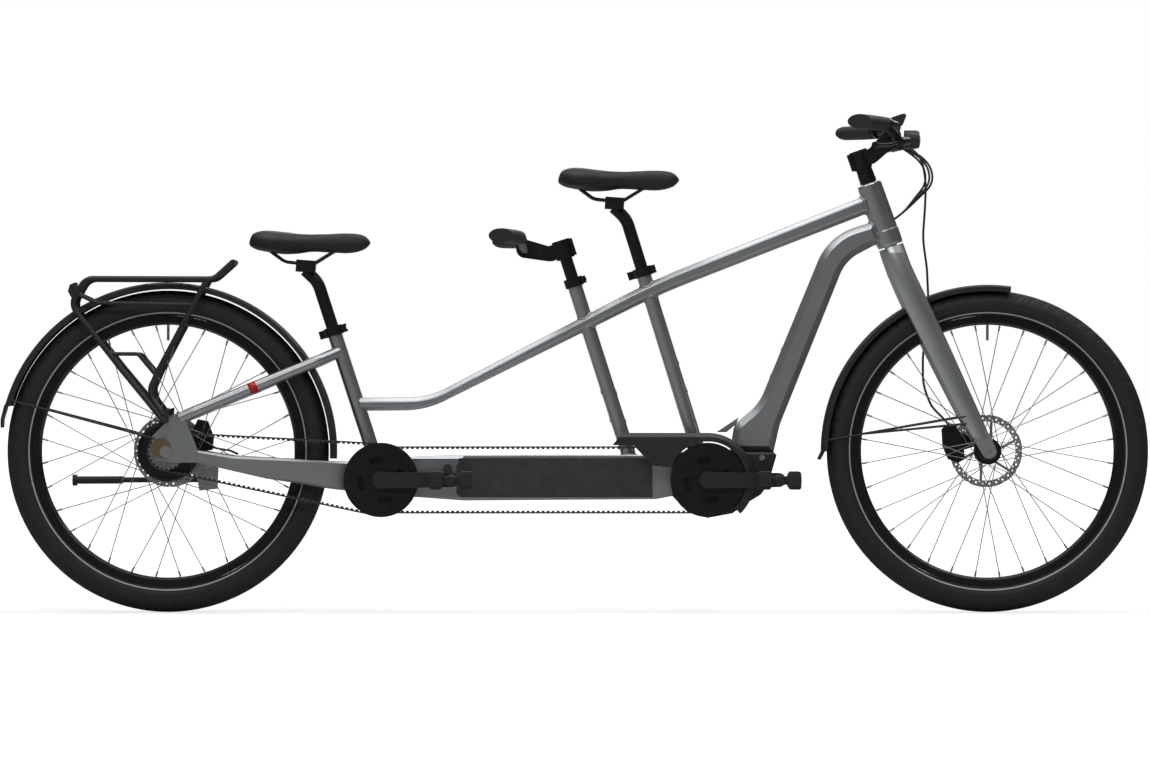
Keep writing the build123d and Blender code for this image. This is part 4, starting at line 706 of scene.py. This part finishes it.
def weldRing(name, start, direction, radius, node, body="frame"):
    # follows the line where a round tube runs into another piece
    surface = surfaceOf(node)
    side = direction.cross(across).normalized()
    points = []
    for step in range(weld["steps"]):
        angle = 2 * math.pi * step / weld["steps"]
        out = side * math.cos(angle) + across * math.sin(angle)
        origin = start + out * (radius + 0.4) * mm
        hit, _, _, _ = surface.ray_cast(origin, direction, 0.9)
        if hit is not None:
            points.append(hit - out * 0.6 * mm)
    if len(points) > weld["steps"] * 0.7:
        cordPiece(name, points, weld["radius"] * mm, framePaint, body, "frame_paint", closed=True)
    else:
        print("no weld for", name, len(points))


def tubeLine(angle):
    lean = math.radians(angle)
    return Vector((-math.cos(lean), 0, math.sin(lean)))


captainUp = tubeLine(72.8)
stokerUp = tubeLine(72.0)
barUp = tubeLine(72.25)
barFoot = near(captainAxle, -172, 54)
captainTop = captainAxle + captainUp * 458 / captainUp.z * mm
barTop = barFoot + barUp * 381 / barUp.z * mm
weldRing("weld_captain_upper", captainTop, -captainUp, 15.9, "top_tube")
weldRing("weld_captain_lower", captainAxle + captainUp * 0.2, captainUp, 15.9, "top_tube")
weldRing("weld_bar_upper", barTop, -barUp, 15.9, "top_tube")
weldRing("weld_bar_lower", barFoot + barUp * 0.1, barUp, 15.9, "top_tube")
weldRing("weld_captain_foot", captainAxle + captainUp * 0.2, -captainUp, 15.9, "drive_unit")
weldRing("weld_bar_foot", barFoot + barUp * 0.1, -barUp, 15.9, "boom_tube")
weldRing("weld_stoker_foot", stokerAxle + stokerUp * 0.15, -stokerUp, 15.9, "boom_tube")


def weldLoop(name, node, lineStart, lineDirection, radius, bins=36):
    # follows the edge that a box tube leaves on a round one
    found = {}
    spots = []
    for vertex in nodes[node].data.vertices:
        arm = vertex.co - lineStart
        arm = arm - lineDirection * arm.dot(lineDirection)
        if abs(arm.length - radius * mm) < 0.0006:
            spots.append(vertex.co.copy())
    if len(spots) < 8:
        print("no weld for", name, len(spots))
        return
    centre = sum(spots, Vector()) / len(spots)
    for spot in spots:
        y = (spot - centre).dot(across)
        up = (spot - centre).dot(lineDirection)
        key = int((math.atan2(up, y) + math.pi) / (2 * math.pi) * bins) % bins
        if key not in found or (spot - centre).length > (found[key] - centre).length:
            found[key] = spot
    points = [found[key] for key in sorted(found)]
    filled = []
    for here, after in zip(points, points[1:] + points[:1]):
        parts = max(1, round((after - here).length / 0.006))
        for part in range(parts):
            spot = here.lerp(after, part / parts)
            arm = spot - lineStart
            foot = lineStart + lineDirection * arm.dot(lineDirection)
            filled.append(foot + (spot - foot).normalized() * (radius + 0.2) * mm)
    cordPiece(name, filled, weld["radius"] * mm, framePaint, "frame", "frame_paint", closed=True)


weldLoop("weld_head_top_tube", "top_tube", steerFoot, steerUp, 29.0)
weldLoop("weld_head_down_tube", "down_tube", steerFoot, steerUp, 29.0)
print("welds done")


# ---------- top tube, swept in even steps
topTube = {"halfWidth": 19.0, "bevel": 9.0, "steps": 170, "edge": 2.6, "seatRadius": 15.9}


def filletLine(points, radii, parts=14):
    # a polyline with its inner corners rounded
    line = [points[0]]
    for corner, radius in zip(range(1, len(points) - 1), radii):
        before = (points[corner - 1] - points[corner]).normalized()
        after = (points[corner + 1] - points[corner]).normalized()
        half = before.angle(after) / 2
        centre = points[corner] + (before + after).normalized() * (radius * mm / math.sin(half))
        run = radius * mm / math.tan(half)
        first = points[corner] + before * run - centre
        last = points[corner] + after * run - centre
        for part in range(parts + 1):
            arm = first.normalized().slerp(last.normalized(), part / parts)
            line.append(centre + arm * (radius * mm))
    return line + [points[-1]]


def evenly(line, steps):
    # the same line as points at even distances
    runs = [0.0]
    for here, after in zip(line, line[1:]):
        runs.append(runs[-1] + (after - here).length)
    spots = []
    place = 0
    for step in range(steps + 1):
        want = runs[-1] * step / steps
        while place < len(runs) - 2 and runs[place + 1] < want:
            place += 1
        share = (want - runs[place]) / (runs[place + 1] - runs[place])
        spots.append(line[place].lerp(line[place + 1], share))
    return spots


upperLine = filletLine([alongSteerer(619, -24), near(captainAxle, -118, 439), near(stokerAxle, 103, 181),
                        near(stokerAxle, -52, 180)], (1600, 180))
lowerLine = filletLine([alongSteerer(581, -24), near(captainAxle, -104, 407), near(stokerAxle, 96, 152),
                        near(stokerAxle, -48, 151)], (1600, 200))
tubeVerts = []
outer = topTube["halfWidth"] * mm
inner = outer - topTube["bevel"] * mm
for high, low in zip(evenly(upperLine, topTube["steps"]), evenly(lowerLine, topTube["steps"])):
    drop = (low - high).normalized() * topTube["bevel"] * mm
    for y, spot in ((-inner, high), (inner, high), (outer, high + drop), (outer, low - drop),
                    (inner, low), (-inner, low), (-outer, low - drop), (-outer, high + drop)):
        tubeVerts.append(spot + across * y)
tubeFaces = gridFaces(topTube["steps"] + 1, 8, False, True)
lastRing = topTube["steps"] * 8
tubeFaces += [tuple(range(8)), tuple(range(lastRing, lastRing + 8))]
tubePiece = addPiece("top_tube_swept", tubeVerts, tubeFaces, framePaint, "frame", "frame_paint")
softenEdges(tubePiece, topTube["edge"] * mm, 3).modifiers["soft edges"].harden_normals = True
cutters = []
for start, direction in ((captainAxle, captainUp), (barFoot, barUp), (stokerAxle, stokerUp)):
    bpy.ops.mesh.primitive_cylinder_add(vertices=48, radius=topTube["seatRadius"] * mm, depth=1.2)
    cutter = bpy.context.object
    cutter.rotation_mode = "QUATERNION"
    cutter.rotation_quaternion = direction.to_track_quat("Z", "Y")
    cutter.location = start + direction * 0.4
    cutters.append(cutter)
    cut = tubePiece.modifiers.new("seat tube way", "BOOLEAN")
    cut.operation = "DIFFERENCE"
    cut.solver = "MANIFOLD"
    cut.object = cutter
tubePiece = toMesh(tubePiece)
for cutter in cutters:
    bpy.data.objects.remove(cutter)
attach(tubePiece, "frame")
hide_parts("top_tube")
print("top tube done:", len(tubePiece.data.vertices), "points")

# ---------- red band on the seat stays
bandShape = {"ahead": 189.0, "half": 9.0, "radius": 12.9, "steps": 40}
for side in (-1, 1):
    upper = near(stokerAxle, -142, 259.5, side * 50)
    lower = near(rearAxle, 62, 87, side * 79)
    run = (upper - lower).normalized()
    middle = lower + run * ((rearAxle.x + bandShape["ahead"] * mm - lower.x) / run.x)
    sideways = run.cross(across).normalized()
    other = run.cross(sideways).normalized()
    verts = []
    for lengthwise, radius in ((-1.0, 12.3), (-0.98, 12.9), (0.98, 12.9), (1.0, 12.3)):
        for step in range(bandShape["steps"]):
            angle = 2 * math.pi * step / bandShape["steps"]
            verts.append(middle + (run * lengthwise * bandShape["half"] + (sideways * math.cos(angle)
                         + other * math.sin(angle)) * radius) * mm)
    name = "red_band_right" if side < 0 else "red_band_left"
    addPiece(name, verts, gridFaces(4, bandShape["steps"], False, True), redBand, "frame", "lens_red")

# ---------- lights and display
def roundLens(name, centre, ahead, radius, dome, material, body, slot, rings=8, steps=40):
    sideways = ahead.cross(across).normalized()
    verts = [centre + ahead * dome * mm]
    for ring in range(1, rings + 1):
        share = ring / rings
        for step in range(steps):
            angle = 2 * math.pi * step / steps
            verts.append(centre + (ahead * dome * (1 - share**2) + (sideways * math.cos(angle)
                         + across * math.sin(angle)) * radius * share) * mm)
    faces = [(0, 1 + step, 1 + (step + 1) % steps) for step in range(steps)]
    faces += gridFaces(rings, steps, False, True, 1)
    faces.append(tuple(1 + (rings - 1) * steps + step for step in range(steps)))
    return addPiece(name, verts, faces, material, body, slot)


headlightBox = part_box("headlight")
lensHeight = (headlightBox[0][2] + headlightBox[1][2]) / 2
lensSpot = Vector((headlightBox[1][0], 0, lensHeight)) + Vector((0.0003, 0, 0))
roundLens("headlight_lens", lensSpot, Vector((1, 0, 0)), 16.5, 2.5, clearLens, "steering", "display_plastic")

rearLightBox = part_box("rear_light")
lightLow, lightHigh = Vector(rearLightBox[0]), Vector(rearLightBox[1])
lensOutline = [near(rearAxle, -213.5, 366.6), near(rearAxle, -218.5, 352), near(rearAxle, -212.5, 340),
               near(rearAxle, -209.5, 340.5),
               near(rearAxle, -215, 352), near(rearAxle, -212, 365.0)]
verts, faces = solidBlock(lensOutline, lightLow.y + 0.004, lightHigh.y - 0.004)
softenEdges(addPiece("rear_light_lens", verts, faces, redLens, "frame", "lens_red"), 0.0008)

screenAhead = Vector((46, 0, 16)).normalized()
screenUp = Vector((-screenAhead.z, 0, screenAhead.x))
screenMiddle = near(barSpot, 4, 41.2)
screenVerts = []
for up, size in ((-0.6, 1.0), (0.9, 1.0), (1.5, 0.94)):
    for along, y in ((-21, -35), (21, -35), (21, 35), (-21, 35)):
        corner = screenAhead * along * size + across * y * size + screenUp * up
        screenVerts.append(screenMiddle + corner * mm)
screenFaces = gridFaces(3, 4, False, True) + [(0, 1, 2, 3), (8, 9, 10, 11)]
softenEdges(addPiece("display_screen", screenVerts, screenFaces, screenGlass, "steering", "display_plastic",
                     smooth=False), 0.0006)
print("lights and display done")

# ---------- control cables, from the bar to the port in the head tube
portRadius = 27.9
for number, (y, reachOut) in enumerate(((-9, 8), (0, 0), (9, 16))):
    port = alongSteerer(550, math.sqrt(portRadius**2 - y**2) + 1.0)
    route = [
        near(barSpot, 3, -12, 38 + y), near(barSpot, 40 + reachOut, -33, 31 + 1.1 * y),
        near(barSpot, 72 + reachOut, -64, 18 + 1.2 * y), near(barSpot, 76 + reachOut, -104, 6 + 1.3 * y),
        near(port, 44 + reachOut * 0.6, 46, y), near(port, 18, 12, y), near(port, 0, 0, y)]
    cable = toMesh(cordPiece(f"control_cable_{number + 1}", route, 2.4 * mm, softRubber, None,
                             "belt_rubber"))
    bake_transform(cable)
    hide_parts("control_cables")
print("cables done")

# ---------- pedals
pedalShape = {"length": 94.0, "ribs": 9, "wall": 14.0}


def makePedal(name, node, body):
    low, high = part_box(node)
    low, high = Vector(low), Vector(high)
    middle = (low + high) / 2
    parts = []
    halfLength = (high.x - low.x) / 2 - 0.001
    halfWidth = (high.y - low.y) / 2
    for end in (-1, 1):                                     # two treads, front and back
        for top in (-1, 1):
            for rib in range(pedalShape["ribs"]):
                y = -halfWidth + 2 * halfWidth * (rib + 0.5) / pedalShape["ribs"]
                wide = halfWidth / pedalShape["ribs"] * 0.62
                xIn, xOut = end * halfLength * 0.42, end * halfLength
                zIn, zOut = top * 0.0145, top * 0.0195
                outline = [middle + Vector((xIn, 0, zIn)), middle + Vector((xIn + end * 0.002, 0, zOut)),
                           middle + Vector((xOut - end * 0.004, 0, zOut)), middle + Vector((xOut, 0, zIn))]
                parts.append(solidBlock(outline, middle.y + y - wide, middle.y + y + wide))
        xIn, xOut = end * halfLength * 0.38, end * halfLength * 0.97
        outline = [middle + Vector((xIn, 0, -0.015)), middle + Vector((xOut, 0, -0.0145)),
                   middle + Vector((xOut + end * 0.001, 0, 0)),
                   middle + Vector((xOut, 0, 0.0145)), middle + Vector((xIn, 0, 0.015))]
        parts.append(solidBlock(outline, low.y, high.y))
    steps = 28
    barrel = []
    for share, radius in ((0.0, 10.0), (0.04, 12.0), (0.96, 12.0), (1.0, 10.0)):
        y = low.y + (high.y - low.y) * share
        for step in range(steps):
            angle = 2 * math.pi * step / steps
            barrel.append(Vector((middle.x + math.cos(angle) * radius * mm, y,
                                  middle.z + math.sin(angle) * radius * mm)))
    parts.append((barrel, gridFaces(4, steps, False, True) + [tuple(range(steps)),
                                                              tuple(range(3 * steps, 4 * steps))]))
    for y in (low.y + 0.006, high.y - 0.012):               # end plates that join the treads
        outline = [middle + Vector((-halfLength * 0.9, 0, -0.009)),
                   middle + Vector((halfLength * 0.9, 0, -0.009)),
                   middle + Vector((halfLength * 0.9, 0, 0.009)),
                   middle + Vector((-halfLength * 0.9, 0, 0.009))]
        parts.append(solidBlock(outline, y, y + 0.006))
    verts, faces = joinParts(parts)
    pedal = addPiece(name, verts, faces, softRubber, body, "grip_rubber", smooth=False)
    softenEdges(pedal, 0.0008, 1)
    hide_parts(node)


for rider in ("captain", "stoker"):
    for side in ("left", "right"):
        makePedal(f"{rider}_pedal_{side}_treaded", f"{rider}_pedal_{side}", f"{rider}_pedal_{side}")
print("pedals done")


# ---------- floor, lights and camera
studio = {"cameraAway": 14.0, "cameraHeight": 0.503, "viewWidth": 2.530, "floorHalf": 60.0,
          "glowNear": 0.66, "glowFar": 1.0, "nearReach": 1.6, "farReach": 5.0}
floorMesh = bpy.data.meshes.new("floor")
half = studio["floorHalf"]
floorMesh.from_pydata([(-half, -half, 0), (half, -half, 0), (half, half, 0), (-half, half, 0)], [],
                      [(0, 1, 2, 3)])
floor = bpy.data.objects.new("floor", floorMesh)
bpy.context.scene.collection.objects.link(floor)
floorMaterial, floorTree, floorShader = newMaterial("pale floor", (0.50, 0.50, 0.50), 0.9)
floorMesh.materials.append(floorMaterial)
# the floor stays white to the eye without lighting the bike
floorRays = addNode(floorTree, "ShaderNodeLightPath")
floorGlow = addNode(floorTree, "ShaderNodeMath", operation="MULTIPLY")
floorPlace = addNode(floorTree, "ShaderNodeTexCoord")
floorAway = addNode(floorTree, "ShaderNodeVectorMath", operation="LENGTH")
floorSpan = addNode(floorTree, "ShaderNodeMapRange", interpolation_type="SMOOTHSTEP")
floorSpan.inputs["From Min"].default_value = studio["nearReach"]
floorSpan.inputs["From Max"].default_value = studio["farReach"]
floorSpan.inputs["To Min"].default_value = studio["glowNear"]
floorSpan.inputs["To Max"].default_value = studio["glowFar"]
floorTree.links.new(floorPlace.outputs["Object"], floorAway.inputs[0])
floorTree.links.new(floorAway.outputs["Value"], floorSpan.inputs["Value"])
floorTree.links.new(floorSpan.outputs["Result"], floorGlow.inputs[1])
floorTree.links.new(floorRays.outputs["Is Camera Ray"], floorGlow.inputs[0])
floorTree.links.new(floorGlow.outputs[0], floorShader.inputs["Emission Strength"])
floorShader.inputs["Emission Color"].default_value = (1, 1, 1, 1)


def softLight(name, place, target, width, height, power, colour=(1, 1, 1)):
    lamp = bpy.data.lights.new(name, "AREA")
    lamp.shape = "RECTANGLE"
    lamp.size = width
    lamp.size_y = height
    lamp.energy = power
    lamp.color = colour
    holder = bpy.data.objects.new(name, lamp)
    bpy.context.scene.collection.objects.link(holder)
    holder.location = place
    holder.rotation_mode = "QUATERNION"
    holder.rotation_quaternion = (Vector(target) - Vector(place)).to_track_quat("-Z", "Y")
    return holder


softLight("top soft box", (0, -0.3, 3.2), (0, 0, 0.4), 4.4, 1.6, 44)
softLight("front soft box", (-0.8, -4.4, 3.4), (0, 0, 0.5), 3.6, 0.8, 42)
softLight("back soft box", (0.6, 3.4, 2.4), (0, 0, 0.6), 4.0, 0.8, 30)

world = bpy.data.worlds.new("studio")
bpy.context.scene.world = world
world.use_nodes = True
worldTree = world.node_tree
worldTree.nodes.clear()
worldOut = addNode(worldTree, "ShaderNodeOutputWorld")
seen = addNode(worldTree, "ShaderNodeBackground")
seen.inputs["Color"].default_value = (1, 1, 1, 1)
seen.inputs["Strength"].default_value = 1.0
felt = addNode(worldTree, "ShaderNodeBackground")
rays = addNode(worldTree, "ShaderNodeLightPath")
choose = addNode(worldTree, "ShaderNodeMixShader")
skyPlace = addNode(worldTree, "ShaderNodeTexCoord")
skySplit = addNode(worldTree, "ShaderNodeSeparateXYZ")
skyRamp = addNode(worldTree, "ShaderNodeValToRGB")
skyStops = skyRamp.color_ramp.elements
skyStops[0].position = 0.0
skyStops[0].color = (0.035, 0.036, 0.038, 1)
skyStops[1].position = 1.0
skyStops[1].color = (0.62, 0.63, 0.64, 1)
middleStop = skyStops.new(0.35)
middleStop.color = (0.06, 0.062, 0.065, 1)
worldTree.links.new(skyPlace.outputs["Generated"], skySplit.inputs[0])
worldTree.links.new(skySplit.outputs["Z"], skyRamp.inputs["Fac"])
worldTree.links.new(skyRamp.outputs["Color"], felt.inputs["Color"])
worldTree.links.new(rays.outputs["Is Camera Ray"], choose.inputs["Fac"])
worldTree.links.new(felt.outputs[0], choose.inputs[1])
worldTree.links.new(seen.outputs[0], choose.inputs[2])
worldTree.links.new(choose.outputs[0], worldOut.inputs["Surface"])
bpy.context.scene.view_settings.view_transform = "Standard"

camera = bpy.data.objects.new("camera", bpy.data.cameras.new("camera"))
bpy.context.scene.collection.objects.link(camera)
bpy.context.scene.camera = camera
camera.data.sensor_width = 36.0
camera.data.lens = 36.0 * studio["cameraAway"] / studio["viewWidth"]
camera.data.clip_end = 100.0
camera.location = (0.0, -studio["cameraAway"], studio["cameraHeight"])
camera.rotation_euler = (math.radians(90), 0, 0)
print("studio done")
